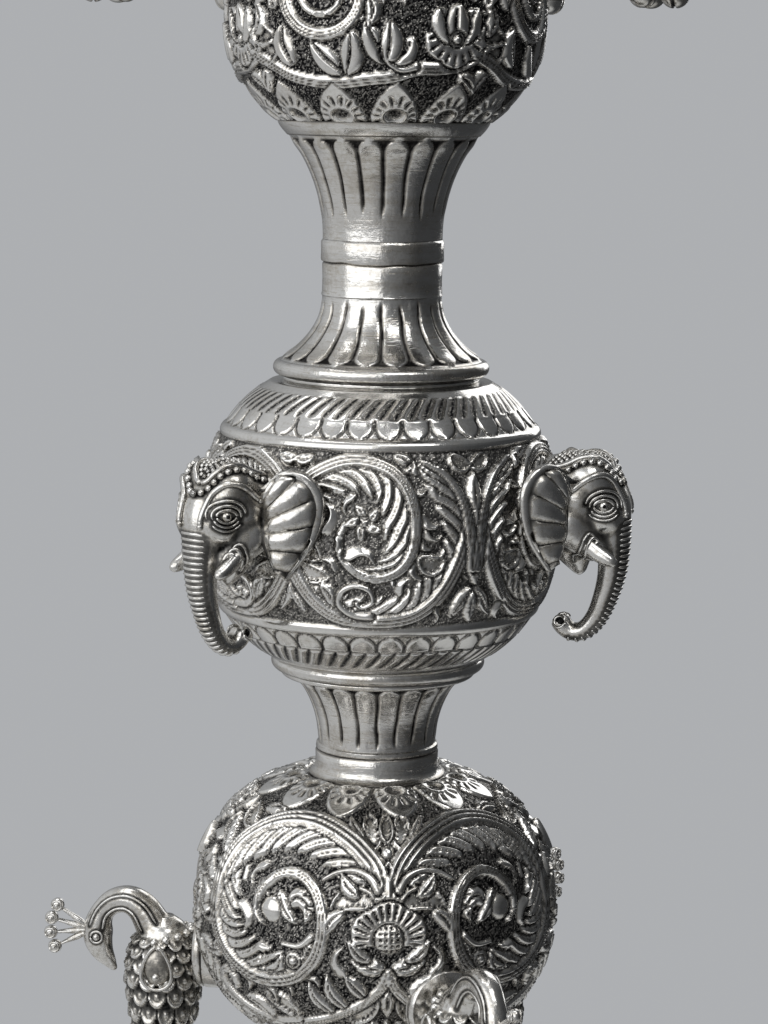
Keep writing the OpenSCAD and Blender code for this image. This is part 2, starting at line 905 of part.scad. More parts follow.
// Dish eyes and bell bunches: heights along one bunch, from the dish down
eye_r = 5;
eye_wire = 1.2;
eye_neck = 3;
eye_z = dish_z + dish_height(bunch_r) - eye_neck - eye_r;
pivot_z = eye_z - eye_r;
first_link_z = pivot_z + eye_wire + link_wire + link_gap - link_r;
link_pitch = 2 * (link_r - link_wire) - link_gap;
last_link_z = first_link_z - link_pitch * (chain_rings - 1);
loop_r = 2.8;
loop_wire = 0.8;
loop_z = last_link_z - link_r + link_wire + loop_wire + link_gap - loop_r;
bell_ring_r = 1.17 * bell_r;
hub_r = 0.6 * bell_r;
hub_z = loop_z - loop_r - 1.2 * hub_r;
bell_z = hub_z - 0.75 * bell_r;
shank_hole_gap = 0.2;

module oil_dish() {
    color(SILVER)
        translate([0, 0, dish_z])
            difference() {
                union() {
                    dish_bowl();
                    difference() {
                        dish_lips(0, dish_depth - lip_h, dish_depth);
                        dish_hollow();
                    }
                }
                dish_lips(dish_t, dish_depth - lip_h + dish_t, dish_depth + lip_h);
                for (i = [0:lips - 1])
                    at_azimuth(bunch_turn + bunch_step * i)
                        translate([bunch_r, 0, 0])
                            cylinder(r = eye_wire + shank_hole_gap, h = dish_depth + lip_h);
            }
}

// A wire ring that stands upright, across or along the way out from the axis
module upright_ring(r, wire, across) {
    rotate([90, 0, across ? 90 : 0])
        rotate_extrude()
            translate([r, 0])
                circle(r = wire, $fn = 24);
}

module at_bunch(i) {
    at_azimuth(bunch_turn + bunch_step * i)
        translate([bunch_r, 0, 0])
            children();
}

module dish_eyes() {
    head_r = 2.2 * eye_wire;
    head_z = dish_z + dish_height(bunch_r + head_r) + dish_t + shank_hole_gap;
    color(SILVER)
        for (i = [0:lips - 1])
            at_bunch(i) {
                translate([0, 0, eye_z])
                    upright_ring(eye_r, eye_wire, false);
                translate([0, 0, eye_z + eye_r])
                    cylinder(r = eye_wire, h = head_z - eye_z - eye_r + eye_wire / 2);
                translate([0, 0, head_z])
                    cylinder(r1 = head_r, r2 = eye_wire, h = eye_wire);
            }
}

module bell_chain(i) {
    color(SILVER)
        at_bunch(i)
            for (k = [0:chain_rings - 1])
                translate([0, 0, first_link_z - link_pitch * k])
                    upright_ring(link_r, link_wire, k % 2 == 0);
}

module jingle_bell() {
    difference() {
        sphere(bell_r);
        sphere(bell_r - bell_wall);
        translate([-bell_slit / 2, -bell_r, -2 * bell_r])
            cube([bell_slit, 2 * bell_r, 2 * bell_r]);
    }
}

module jingle_bells(i) {
    color(DARK_SILVER)
        at_bunch(i) {
            difference() {
                union() {
                    translate([0, 0, loop_z])
                        upright_ring(loop_r, loop_wire, chain_rings % 2 == 0);
                    translate([0, 0, hub_z])
                        cylinder(r = loop_wire, h = loop_z - loop_r - hub_z);
                    translate([0, 0, hub_z])
                        sphere(hub_r);
                }
                for (k = [0:2])
                    rotate([0, 0, 120 * k])
                        translate([bell_ring_r, 0, bell_z])
                            sphere(bell_r - bell_wall / 2);
            }
            for (k = [0:2])
                rotate([0, 0, 120 * k])
                    translate([bell_ring_r, 0, bell_z])
                        jingle_bell();
            for (k = [0:2])
                rotate([0, 0, 120 * k])
                    translate([bell_ring_r, 0, bell_z - bell_r + bell_wall + pellet_r + link_gap])
                        sphere(pellet_r);
        }
}

// Tie rod and finial
module tie_rod() {
    color(STEEL)
        translate([0, 0, rod_low_z])
            cylinder(r = rod_r, h = finial_z + finial_bore_h - turn_gap - rod_low_z);
}

module rod_washer() {
    difference() {
        cylinder(r = washer_r, h = washer_t);
        translate([0, 0, -1])
            cylinder(r = rod_hole_r, h = washer_t + 2);
    }
}

module rod_nut() {
    difference() {
        cylinder(r = nut_r, h = nut_h, $fn = 6);
        translate([0, 0, -1])
            cylinder(r = rod_r + thread_gap, h = nut_h + 2);
    }
}

module base_washer() {
    color(STEEL)
        translate([0, 0, rod_low_z + nut_h])
            rod_washer();
}

module base_nut() {
    color(STEEL)
        translate([0, 0, rod_low_z])
            rod_nut();
}

module dish_washer() {
    color(STEEL)
        translate([0, 0, sleeve_z])
            rod_washer();
}

module dish_nut() {
    color(STEEL)
        translate([0, 0, sleeve_z + washer_t])
            rod_nut();
}

module finial_sleeve() {
    band_h = 3;
    step = 2;
    room_r = washer_r + 1;
    room_h = washer_t + nut_h + 2;
    top_r = 0.6 * sleeve_r;
    top_z = sleeve_h - band_h;
    steps = 8;
    color(SILVER)
        translate([0, 0, sleeve_z])
            rotate_extrude()
                polygon(concat(
                    [[room_r, 0], [sleeve_r, 0], [sleeve_r, band_h]],
                    [for (i = [0:steps])
                        let (t = i / steps)
                        [blend(sleeve_r - step, top_r, sin(90 * t)), blend(band_h + 1, top_z, t)]],
                    [
                        [top_r + step, sleeve_h - step],
                        [top_r + step, sleeve_h],
                        [rod_hole_r, sleeve_h],
                        [rod_hole_r, room_h],
                        [room_r, room_h]
                    ]
                ));
}

// A pot-bellied bud: foot, belly, collar and pointed bud, turned in one piece
module finial() {
    foot_r = 0.6 * sleeve_r;
    belly_h = 0.42 * finial_h;
    waist_r = 0.4 * finial_r;
    bud_r = 0.55 * finial_r;
    foot_top = 0.06 * finial_h;
    bud_z = foot_top + belly_h + 0.06 * finial_h;
    steps = 12;
    color(SILVER)
        translate([0, 0, finial_z])
            rotate_extrude()
                polygon(concat(
                    [[rod_r + thread_gap, 0], [foot_r, 0], [foot_r, foot_top]],
                    [for (i = [0:steps])
                        let (t = i / steps)
                        [waist_r + (finial_r - waist_r) * sin(180 * t), foot_top + belly_h * t]],
                    [[bud_r, bud_z - 0.02 * finial_h], [bud_r, bud_z]],
                    [for (i = [0:steps])
                        let (t = i / steps)
                        [waist_r * (1 - t) + 0.5 * bud_r * sin(180 * t), blend(bud_z, finial_h, t)]],
                    [[0, finial_bore_h], [rod_r + thread_gap, finial_bore_h]]
                ));
}

base_plate();
base_dome();
pedestal_ring();
pedestal_neck();
pedestal_coupling();
pedestal_cup();
cup_ring();
lower_bulb();
peacock_stubs();
peacock_front();
peacock_rear();
peacock_left();
peacock_studs();
peacock_nuts();
lower_foot();
lower_neck();
collar_ring();
elephant_bulb();
elephant_right();
elephant_rear();
elephant_left();
elephant_studs();
elephant_nuts();
neck_ring();
lower_horn();
neck_coupling();
upper_horn();
upper_ring();
upper_bulb();
crown_ring();
crown_neck();
oil_dish();
dish_eyes();
bell_chain(0);  // bell_chain_1
bell_chain(1);  // bell_chain_2
bell_chain(2);  // bell_chain_3
bell_chain(3);  // bell_chain_4
bell_chain(4);  // bell_chain_5
jingle_bells(0);  // jingle_bells_1
jingle_bells(1);  // jingle_bells_2
jingle_bells(2);  // jingle_bells_3
jingle_bells(3);  // jingle_bells_4
jingle_bells(4);  // jingle_bells_5
tie_rod();
base_washer();
base_nut();
dish_washer();
dish_nut();
finial_sleeve();
finial();
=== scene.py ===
import math
from contextlib import contextmanager

import bmesh
import bpy
import numpy as np
from mathutils import Matrix, Vector
from mathutils.bvhtree import BVHTree
from mathutils.kdtree import KDTree


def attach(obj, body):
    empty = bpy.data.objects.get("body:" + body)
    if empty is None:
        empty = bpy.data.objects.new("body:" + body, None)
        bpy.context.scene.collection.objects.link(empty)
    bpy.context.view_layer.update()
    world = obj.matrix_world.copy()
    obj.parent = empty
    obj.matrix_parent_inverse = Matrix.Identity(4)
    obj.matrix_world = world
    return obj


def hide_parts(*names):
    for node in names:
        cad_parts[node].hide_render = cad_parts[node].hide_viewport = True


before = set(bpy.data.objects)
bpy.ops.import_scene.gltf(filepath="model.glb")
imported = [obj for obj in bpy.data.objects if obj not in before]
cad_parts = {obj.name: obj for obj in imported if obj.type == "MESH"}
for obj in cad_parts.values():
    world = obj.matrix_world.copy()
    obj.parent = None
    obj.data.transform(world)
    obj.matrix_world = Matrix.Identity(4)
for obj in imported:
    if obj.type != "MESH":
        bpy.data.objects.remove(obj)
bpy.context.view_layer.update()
MM = 0.001
punch = np.random.default_rng(11)

# Millimetres and degrees that several pieces share
ELEPHANT_BULB_R, ELEPHANT_BULB_Z = 75.5, 459.8
NECK_R = 25.5
BORE = 13
FIRST_LIP, FIRST_EYE, FIFTH = 107, 71, 72
EYE_R = 116


# Small sums

def unit(a):
    return np.clip(a, 0, 1)


def peak(a, middle, width, power=2):
    """A smooth ridge, 1 high at its middle"""
    return np.exp(-((a - middle) / width) ** power)


def step_up(a, low, high):
    t = unit((a - low) / (high - low))
    return t * t * (3 - 2 * t)


def once_round(count):
    return np.linspace(0, math.tau, count)


def around(radius, turn, z):
    """Points at a radius and height, turned about the lamp's axis from the front to the right"""
    return np.stack([radius * np.sin(turn), -radius * np.cos(turn), z], -1)


def wrapped(a):
    """A sheet with its first column once more at its end"""
    return np.hstack([a, a[:, :1]])


def run_of(path):
    """Distance run along a path in a plane"""
    return np.concatenate([[0], np.cumsum(np.hypot(*np.diff(path[:, :2], axis=0).T))])


def headings(path):
    way = np.gradient(path, axis=0)
    return way / np.linalg.norm(way, axis=1)[:, None]


# Finishes

def node(tree, kind, sockets=None, **settings):
    made = tree.nodes.new(kind)
    for key, value in settings.items():
        setattr(made, key, value)
    for key, value in (sockets or {}).items():
        if isinstance(value, bpy.types.NodeSocket):
            tree.links.new(value, made.inputs[key])
        else:
            made.inputs[key].default_value = value
    return made


def sum_of(tree, a, b, share):
    """a plus a share of b, held between 0 and 1"""
    made = node(tree, "ShaderNodeMath", {0: b, 1: share, 2: a}, operation="MULTIPLY_ADD", use_clamp=True)
    return made.outputs[0]


def ramp(tree, value, *stops):
    made = node(tree, "ShaderNodeValToRGB", {"Fac": value})
    bar = made.color_ramp
    while len(bar.elements) < len(stops):
        bar.elements.new(0.5)
    for element, (place, colour) in zip(bar.elements, stops):
        element.position = place
        element.color = (*colour, 1)
    return made.outputs["Color"]


def spread(tree, value, low, high, start=0.0, end=1.0):
    """Maps the range from start to end of a value to low and high"""
    limits = {"From Min": start, "From Max": end, "To Min": low, "To Max": high}
    return node(tree, "ShaderNodeMapRange", {"Value": value, **limits}).outputs["Result"]


def noise(tree, place, scale, detail, **more):
    sockets = {"Vector": place, "Scale": scale, "Detail": detail, **more}
    return node(tree, "ShaderNodeTexNoise", sockets).outputs["Fac"]


def mixed(tree, factor, a, b):
    return node(tree, "ShaderNodeMix", {"Factor": factor, 6: a, 7: b}, data_type="RGBA").outputs[2]


def silver(name, bright, smoky, black, gloss, dull, patch=0.3, speck=0.25, dent=0.1, wipe=0.1, grain=0.0):
    """Antique silver plate: tarnish lies in the hollows, the high places are rubbed bright"""
    made = bpy.data.materials.new(name)
    made.use_nodes = True
    tree = made.node_tree
    shader = tree.nodes["Principled BSDF"]
    place = node(tree, "ShaderNodeTexCoord").outputs["Object"]
    # The tarnish attribute holds tarnish in hollows and cut lines, and also painted shade: the black in the
    # elephants' nostrils and in the bells' slits
    hollow = node(tree, "ShaderNodeAttribute", attribute_name="tarnish").outputs["Fac"]
    clouds = spread(tree, noise(tree, place, 45, 4), -0.5, 0.5, 0.3, 0.7)
    specks = spread(tree, noise(tree, place, 620, 3), -0.5, 0.5, 0.2, 0.8)
    drawn = node(tree, "ShaderNodeMapping", {"Vector": place, "Scale": (0.1, 0.1, 1)}).outputs["Vector"]
    wiped = spread(tree, noise(tree, drawn, 260, 4), -0.5, 0.5, 0.25, 0.75)
    scratched = spread(tree, noise(tree, drawn, 1500, 2), 0.0, 1.0, 0.55, 0.7)
    dots = node(tree, "ShaderNodeTexVoronoi", {"Vector": place, "Scale": 1050}).outputs["Distance"]
    dots = spread(tree, dots, 1.0, 0.0, 0.15, 0.42)
    stipple = node(tree, "ShaderNodeMath", {0: dots, 1: hollow}, operation="MULTIPLY").outputs[0]
    age = sum_of(tree, sum_of(tree, hollow, stipple, -grain), clouds, patch)
    age = sum_of(tree, age, specks, speck)
    age = sum_of(tree, sum_of(tree, age, wiped, wipe), scratched, 0.5 * wipe)
    warm = tuple(a + (b - a) * 0.5 for a, b in zip(bright, smoky))
    warm = (warm[0] * 1.04, warm[1], warm[2] * 0.93)
    colour = ramp(tree, age, (0.0, bright), (0.2, warm), (0.42, smoky), (0.95, black))
    tree.links.new(colour, shader.inputs["Base Color"])
    wear = sum_of(tree, spread(tree, age, gloss, dull), specks, 0.18)
    tree.links.new(wear, shader.inputs["Roughness"])
    uneven = sum_of(tree, noise(tree, place, 150, 5, Roughness=0.6), wiped, wipe)
    uneven = sum_of(tree, uneven, scratched, -0.3 * wipe)
    bump = node(tree, "ShaderNodeBump", {"Height": uneven, "Strength": dent, "Distance": 0.0008}).outputs["Normal"]
    pitted = {"Height": stipple, "Strength": 0.8 * grain, "Distance": 0.0004, "Normal": bump}
    bump = node(tree, "ShaderNodeBump", pitted).outputs["Normal"]
    tree.links.new(bump, shader.inputs["Normal"])
    shader.inputs["Metallic"].default_value = 1.0
    return made


# Name, then the bright, smoky and black colour, then gloss, dull, patch, speck, dent, wipe and grain
FINISHES = (
    ("chased_silver", (0.70, 0.69, 0.67), (0.24, 0.232, 0.22), (0.010, 0.010, 0.011),
     0.14, 0.5, 0.18, 0.15, 0.15, 0.1, 0.85),
    ("plain_silver", (0.66, 0.65, 0.63), (0.27, 0.257, 0.238), (0.014, 0.013, 0.013),
     0.15, 0.5, 0.3, 0.2, 0.45, 0.25),
    ("cast_silver", (0.66, 0.65, 0.63), (0.19, 0.184, 0.173), (0.010, 0.010, 0.010), 0.19, 0.55, 0.42, 0.4, 0.3),
    ("bell_silver", (0.68, 0.67, 0.645), (0.26, 0.25, 0.235), (0.014, 0.014, 0.014), 0.18, 0.5, 0.4),
    ("steel_fixings", (0.52, 0.53, 0.54), (0.30, 0.30, 0.31), (0.05, 0.05, 0.05), 0.32, 0.5, 0.3, 0.2, 0.05),
    ("iron_plate", (0.15, 0.15, 0.155), (0.09, 0.09, 0.09), (0.03, 0.028, 0.026), 0.42, 0.62, 0.5, 0.5, 0.3),
)
FINISH_OF = {row[0]: silver(*row) for row in FINISHES}
FINISH_OF["dish_silver"] = FINISH_OF["plain_silver"]


# Pieces

def add_piece(name, mesh, slot, replaces, body="stand", crease=None, finish=None):
    """Sets a mesh on the lamp; the finish is the slot's own unless another is named"""
    mesh.name = name
    piece = bpy.data.objects.new(name, mesh)
    bpy.context.scene.collection.objects.link(piece)
    mesh.materials.clear()
    mesh.materials.append(FINISH_OF[finish or slot])
    mesh.shade_smooth()
    if crease:
        mesh.set_sharp_from_angle(angle=math.radians(crease))
    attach(piece, body)
    if replaces:
        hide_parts(*replaces)


@contextmanager
def bench(mesh):
    """Opens a mesh for work on its corners and faces, then writes it back"""
    bm = bmesh.new()
    bm.from_mesh(mesh)
    yield bm
    bm.to_mesh(mesh)
    bm.free()


def to_mesh(bm):
    mesh = bpy.data.meshes.new("made")
    bm.to_mesh(mesh)
    bm.free()
    return mesh


def points_of(mesh):
    flat = np.empty(len(mesh.vertices) * 3, np.float32)
    mesh.vertices.foreach_get("co", flat)
    return flat.reshape(-1, 3).astype(float)


def set_points(mesh, points):
    mesh.vertices.foreach_set("co", np.ascontiguousarray(points, np.float32).ravel())
    mesh.update()


def set_tarnish(mesh, values):
    layer = mesh.attributes.get("tarnish") or mesh.attributes.new("tarnish", "FLOAT", "POINT")
    layer.data.foreach_set("value", np.ascontiguousarray(values, np.float32).ravel())


def bent_grid(points, tarnish, closed, scale=MM):
    """A grid bent to points[row, column]; a closed one joins its last column to its first"""
    rows, cols = tarnish.shape[0] - 1, tarnish.shape[1] - 1
    bm = bmesh.new()
    bmesh.ops.create_grid(bm, x_segments=cols, y_segments=rows, size=0.5)
    mesh = to_mesh(bm)
    flat = points_of(mesh)
    i = np.rint((flat[:, 0] + 0.5) * cols).astype(int)
    j = np.rint((flat[:, 1] + 0.5) * rows).astype(int)
    set_points(mesh, points[j, i] * scale)
    set_tarnish(mesh, tarnish[j, i])
    if closed:
        with bench(mesh) as bm:
            bm.verts.ensure_lookup_table()
            seam = [bm.verts[int(k)] for k in np.flatnonzero((i == 0) | (i == cols))]
            bmesh.ops.remove_doubles(bm, verts=seam, dist=2e-3 * scale)
    return mesh


def spun(outline, steps, dark=None):
    """A turned piece: the closed outline of (radius, height) goes once round the axis"""
    bm = bmesh.new()
    corners = [bm.verts.new((r * MM, 0, z * MM)) for r, z in outline]
    edges = [bm.edges.new((a, b)) for a, b in zip(corners, corners[1:] + corners[:1])]
    bmesh.ops.spin(bm, geom=corners + edges, cent=(0, 0, 0), axis=(0, 0, 1), angle=math.tau,
                   steps=steps, use_merge=True, use_duplicate=False)
    bmesh.ops.remove_doubles(bm, verts=bm.verts, dist=1e-7)
    bmesh.ops.recalc_face_normals(bm, faces=bm.faces)
    mesh = to_mesh(bm)
    at = points_of(mesh) / MM
    set_tarnish(mesh, dark(np.hypot(at[:, 0], at[:, 1]), at[:, 2]) if dark else np.zeros(len(at)))
    return mesh


def arc(x, z, r, start, end, count):
    turn = np.radians(np.linspace(start, end, count))
    return list(zip(x + r * np.cos(turn), z + r * np.sin(turn)))


# Raised and chased work: heights in millimetres on a flat sheet, x around and y up the bulb

def smooth_path(points, per=7):
    """A smooth curve through points, with a number of steps from each to the next"""
    p = np.array(points, float)
    ends = np.vstack([2 * p[0] - p[1], p, 2 * p[-1] - p[-2]])
    t = np.linspace(0, 1, per, endpoint=False)[:, None]
    runs = [
        0.5 * (2 * b + (c - a) * t + (2 * a - 5 * b + 4 * c - d) * t ** 2 + (3 * b - a - 3 * c + d) * t ** 3)
        for a, b, c, d in zip(ends, ends[1:], ends[2:], ends[3:])
    ]
    return np.vstack(runs + [p[-1:]])


TAPERS = {
    "even": lambda s: np.clip(np.minimum(s, 1 - s) / 0.04, 0.05, 1) ** 0.5,
    "tail": lambda s: (1 - 0.6 * s) * np.clip(np.minimum(s, 1 - s) / 0.03, 0.05, 1) ** 0.5,
    "leaf": lambda s: np.maximum(np.sin(np.pi * s ** 0.85), 0.03) ** 0.85,
    "comma": lambda s: np.clip(s / 0.08, 0.05, 1) ** 0.5 * np.maximum(1 - s, 0.03) ** 0.6,
    "plume": lambda s: np.clip(np.minimum(s / 0.14, (1 - s) / 0.3), 0.03, 1) ** 0.6,
}


def barbs(q, s):
    """Fine lines that run from a leaf's vein to its edge"""
    return unit(np.cos(math.tau * (8 * s - 1.1 * np.abs(q)))) * unit(np.abs(q) * 3 - 0.6)


def plume(q, s, count=12):
    """Long lobes that peel off a rib and sweep on to a scalloped edge, on one side of the rib only"""
    v = unit(q)
    p = np.mod(count * s - 3.1 * v ** 0.65, 1)
    ridge = unit(1 - (np.abs(2 * p - 1) / (1.0 - 0.25 * v ** 3)) ** 2.2) ** 0.6
    tip = unit((0.78 + 0.22 * np.sin(np.pi * p) - v) / 0.1) ** 0.5
    line = 1 - 0.35 * peak(p, 0.42, 0.07) * unit(v * 4 - 0.6)
    return np.where(q > 0, ridge * tip * line * (0.7 + 0.3 * p), 0)


FORMS = {
    "plume left": lambda q, s: plume(q, s),
    "plume right": lambda q, s: plume(-q, s),
    "short plume left": lambda q, s: plume(q, s, 6),
    "cord": lambda q, s: np.sqrt(1 - q * q),
    "vein": lambda q, s: np.sqrt(1 - q * q) * (1 - 0.5 * peak(q, 0, 0.14) - 0.2 * barbs(q, s)),
    "reeds": lambda q, s: np.sqrt(1 - q ** 4) * (0.66 + 0.34 * np.cos(2 * np.pi * q) ** 2),
    "rim": lambda q, s: np.maximum(peak(np.abs(q), 0.76, 0.19) * (1 - q ** 8), 0.24 + 0.2 * barbs(q, s)),
    "turned left": lambda q, s: np.sqrt(1 - q ** 4) * (0.25 + 0.75 * (0.5 + 0.5 * q) ** 1.3),
    "turned right": lambda q, s: np.sqrt(1 - q ** 4) * (0.25 + 0.75 * (0.5 - 0.5 * q) ** 1.3),
    "fold left": lambda q, s: np.sqrt(1 - q * q) * (0.72 + 0.28 * q) * (1 - 0.7 * peak(q, -0.2, 0.12)),
    "fold right": lambda q, s: np.sqrt(1 - q * q) * (0.72 - 0.28 * q) * (1 - 0.7 * peak(q, 0.2, 0.12)),
}
MOAT = 0.6          # width of the groove pressed round each stroke
SINK = 0.9          # depth of the relief's ground under the bulb's own surface
GRAIN_DEPTH = 0.55  # height of the punched grain
MARGIN = 34         # width of sheet on each side of a repeat that is folded back in
LEAF_BREADTH, STEM_BREADTH = 1.42, 1.35
LEAF_RELIEF, STEM_RELIEF = 1.65, 1.4


def lobes(points, count, side, reach):
    """Hooked leaf lobes that peel off one side of a stem"""
    path = smooth_path(points)
    along = np.gradient(path, axis=0)
    along /= np.hypot(along[:, 0], along[:, 1])[:, None]
    run = run_of(path)
    rows = []
    for k in range(count):
        t = (k + 0.4) / count * run[-1] * 0.94
        root, ahead = (np.array([np.interp(t, run, a[:, i]) for i in (0, 1)]) for a in (path, along))
        off = np.array([-ahead[1], ahead[0]]) * side
        size = reach * (0.72 + 0.28 * math.sin(math.pi * k / max(count - 1, 1)) + 0.12 * (-1) ** k)
        bend = [root, root + size * (0.5 * ahead + 0.14 * off), root + size * (0.9 * ahead + 0.44 * off),
                root + size * (0.96 * ahead + 0.86 * off)]
        rows.append(("turned right" if side > 0 else "turned left", "leaf", size * 0.125 + 0.25, 2.0, bend))
    return rows


def stems_last(rows):
    """Plumes first, then leaves, so that the stems lie on top"""
    return sorted(rows, key=lambda row: {"plume": 0, "leaf": 1}.get(row[1], 2))


class Sheet:
    """One repeat of an ornament on a flat sheet, with a margin on both sides that is folded back in"""

    def __init__(self, x0, width, cols, y):
        pitch = width / cols
        self.cols, self.m = cols, int(MARGIN / pitch)
        self.x, self.y = np.meshgrid(x0 + pitch * (np.arange(-self.m, cols + self.m) + 0.5), y)
        self.h = np.zeros_like(self.x)

    def stroke(self, form, taper, width, height, points):
        """Raises one leaf or stem along points, over what was there before"""
        leafy = taper in ("leaf", "comma")
        width *= LEAF_BREADTH if leafy else STEM_BREADTH
        height *= LEAF_RELIEF if leafy else STEM_RELIEF
        path = smooth_path(points)
        step = np.diff(path, axis=0)
        length = np.hypot(step[:, 0], step[:, 1])
        s = np.concatenate([[0], np.cumsum(length)]) / length.sum()
        half = width * TAPERS[taper](s)
        low, high = path.min(0) - width - MOAT, path.max(0) + width + MOAT
        near = (self.x > low[0]) & (self.x < high[0]) & (self.y > low[1]) & (self.y < high[1])
        px, py = self.x[near], self.y[near]
        best = np.full(px.shape, 99.0)
        gap, side, run = best.copy(), best.copy(), best.copy()
        for k in range(len(step)):
            dx, dy = step[k]
            t = unit(((px - path[k, 0]) * dx + (py - path[k, 1]) * dy) / max(length[k] ** 2, 1e-9))
            ex, ey = px - path[k, 0] - t * dx, py - path[k, 1] - t * dy
            away = np.hypot(ex, ey)
            w = half[k] + t * (half[k + 1] - half[k])
            closer = away / w < best
            best = np.where(closer, away / w, best)
            gap = np.where(closer, away - w, gap)
            side = np.where(closer, np.sign(dx * ey - dy * ex), side)
            run = np.where(closer, s[k] + t * (s[k + 1] - s[k]), run)
        inside = best < 1
        q = np.where(inside, best, 0) * side
        old = self.h[near]
        new = height * FORMS[form](q, run)
        old = np.where(inside, np.maximum(old * 0.3, new), old * np.clip(gap / MOAT, 0.25, 1))
        self.h[near] = old

    def boss(self, x, y, r, height, ring=0.0, seeds=0.0):
        """A round boss, with a ring cut round its middle or seeds punched in it"""
        d = np.hypot(self.x - x, self.y - y) / r
        new = height * np.sqrt(unit(1 - d * d))
        if ring:
            new -= 0.6 * height * peak(d, ring, 0.12)
        if seeds:
            pit = np.cos(np.pi * self.x / seeds) * np.cos(np.pi * self.y / seeds)
            new -= 1.1 * height * unit(np.abs(pit) - 0.5) * (d < 0.9)
        self.h = np.where(d < 1, np.maximum(new, 0.1), self.h * np.clip((d - 1) * r / MOAT, 0.25, 1))

    def fan(self, x, y, r, height, lines, up=1):
        """A half flower of joined petals, each cut with fine lines, with a scalloped edge"""
        d = np.hypot(self.x - x, self.y - y)
        lean = np.degrees(np.arctan2((self.y - y) * up, self.x - x)) - 90
        inside = np.abs(lean) < 104
        edge = r + 1.6 * np.abs(np.cos(np.radians(lean) * 3.0))
        cuts = unit(np.cos(np.radians(lean) * 2 * lines) * 1.6 - 0.5)
        cuts = cuts * unit((d - 8) / 2) * unit(edge - d - 1)
        new = height * unit((edge - d) / 1.2) ** 0.5
        new = new * (0.75 + 0.25 * unit((d - 7) / 6)) * (1 - 0.75 * cuts)
        rest = self.h * np.where(inside, np.clip((d - edge) / MOAT, 0.25, 1), 1)
        self.h = np.where((d < edge) & inside, np.maximum(new, 0.05), rest)

    def fill(self, reach, least, height):
        """Small curled leaves in the empty places of the sheet, the widest place first"""
        worked = (self.h > 0.2) & (np.abs(self.y) < reach + 6)
        solid = np.stack([self.x[worked], self.y[worked]], -1)[::5]
        inner = self.x[0, self.m:self.m + self.cols]
        left, right = inner[0], inner[-1]
        spots = np.array([(x, y) for x in np.arange(left + 2, right - 1, 1.7) for y in np.arange(-reach, reach, 1.7)])
        away = np.full(len(spots), 99.0)
        nearest = np.zeros_like(spots)

        def note(points):
            for block in np.array_split(np.arange(len(spots)), 12):
                gaps = np.hypot(*(spots[block, None] - points[None]).transpose(2, 0, 1))
                pick = gaps.argmin(1)
                closer = gaps[np.arange(len(block)), pick] < away[block]
                away[block] = np.where(closer, gaps[np.arange(len(block)), pick], away[block])
                nearest[block] = np.where(closer[:, None], points[pick], nearest[block])

        note(solid)
        for count in range(60):
            room = np.minimum(away, np.minimum(spots[:, 0] - left, right - spots[:, 0]) + 1.5)
            room = np.minimum(room, reach + 1.5 - np.abs(spots[:, 1]))
            k = int(room.argmax())
            if room[k] < least:
                break
            size, spot = min(room[k], 7.0), spots[k].copy()
            out = spot - nearest[k]
            out /= max(np.hypot(*out), 1e-6)
            along = np.array([-out[1], out[0]]) * (-1) ** (count % 2)
            bend = [spot - along * size * 1.05 - out * size * 0.35, spot - along * size * 0.3 + out * size * 0.2,
                    spot + along * size * 0.5 + out * size * 0.15, spot + along * size * 1.0 - out * size * 0.45]
            self.stroke("turned right" if count % 2 else "turned left", "comma", size * 0.34, height, bend)
            path = smooth_path(bend)
            note(np.vstack([path, path + out * size * 0.3, path - out * size * 0.3]))

    def ring(self, repeats, mirrored):
        """The whole way round, from one repeat"""
        m, n = self.m, self.cols
        core = self.h[:, m:m + n].copy()
        left, right = self.h[:, :m], self.h[:, m + n:]
        if mirrored:
            core[:, :m] = np.maximum(core[:, :m], left[:, ::-1])
            core[:, n - m:] = np.maximum(core[:, n - m:], right[:, ::-1])
            return np.hstack([core, core[:, ::-1]] * (repeats // 2))
        core[:, n - m:] = np.maximum(core[:, n - m:], left)
        core[:, :m] = np.maximum(core[:, :m], right)
        return np.hstack([core] * repeats)


def soften(h, times):
    for _ in range(times):
        h = (np.roll(h, 1, 1) + np.roll(h, -1, 1) + 2 * h) / 4
        padded = np.vstack([h[:1], h, h[-1:]])
        h = (padded[:-2] + padded[2:] + 2 * h) / 4
    return h


def matted(h):
    """Punches the bare ground into fine grain"""
    bare = unit(1 - h / 0.4)
    return h + bare * GRAIN_DEPTH * punch.random(h.shape) ** 1.2


def tarnish_of(h):
    """Tarnish lies on the low ground and in hollows between raised places"""
    low = unit((0.8 - h) / 0.62) ** 1.5
    hollow = unit((soften(h, 5) - h - 0.05) * 2.4)
    return unit(np.maximum(low, hollow))


def bulb_line(r, h, seat, power, inner):
    """Radius, height and outward direction against the distance up the bulb's side and in over its seats"""
    reach = h / 2 / (1 - (seat / r) ** power) ** (1 / power)
    z = np.linspace(-h / 2, h / 2, 3001)
    radius = r * (1 - (np.abs(z) / reach) ** power) ** (1 / power)
    flat = np.linspace(inner, seat, 40)[:-1]
    radius = np.concatenate([flat, radius, flat[::-1]])
    z = np.concatenate([z[0] + 0 * flat, z, z[-1] + 0 * flat])
    side = run_of(np.stack([radius, z], -1))
    side -= side[-1] / 2
    out, up = np.gradient(z, side), -np.gradient(radius, side)
    return lambda y: [np.interp(y, side, a) for a in (radius, z, out, up)] + [side[-1]]


def raised(radius, z, out, up, turn, h):
    """Points of a turned profile with relief h along its outward direction, closed round the axis"""
    h = wrapped(h)
    turn = np.append(turn, turn[0] + math.tau)
    return around(radius[:, None] + h * out[:, None], turn, z[:, None] + h * up[:, None])


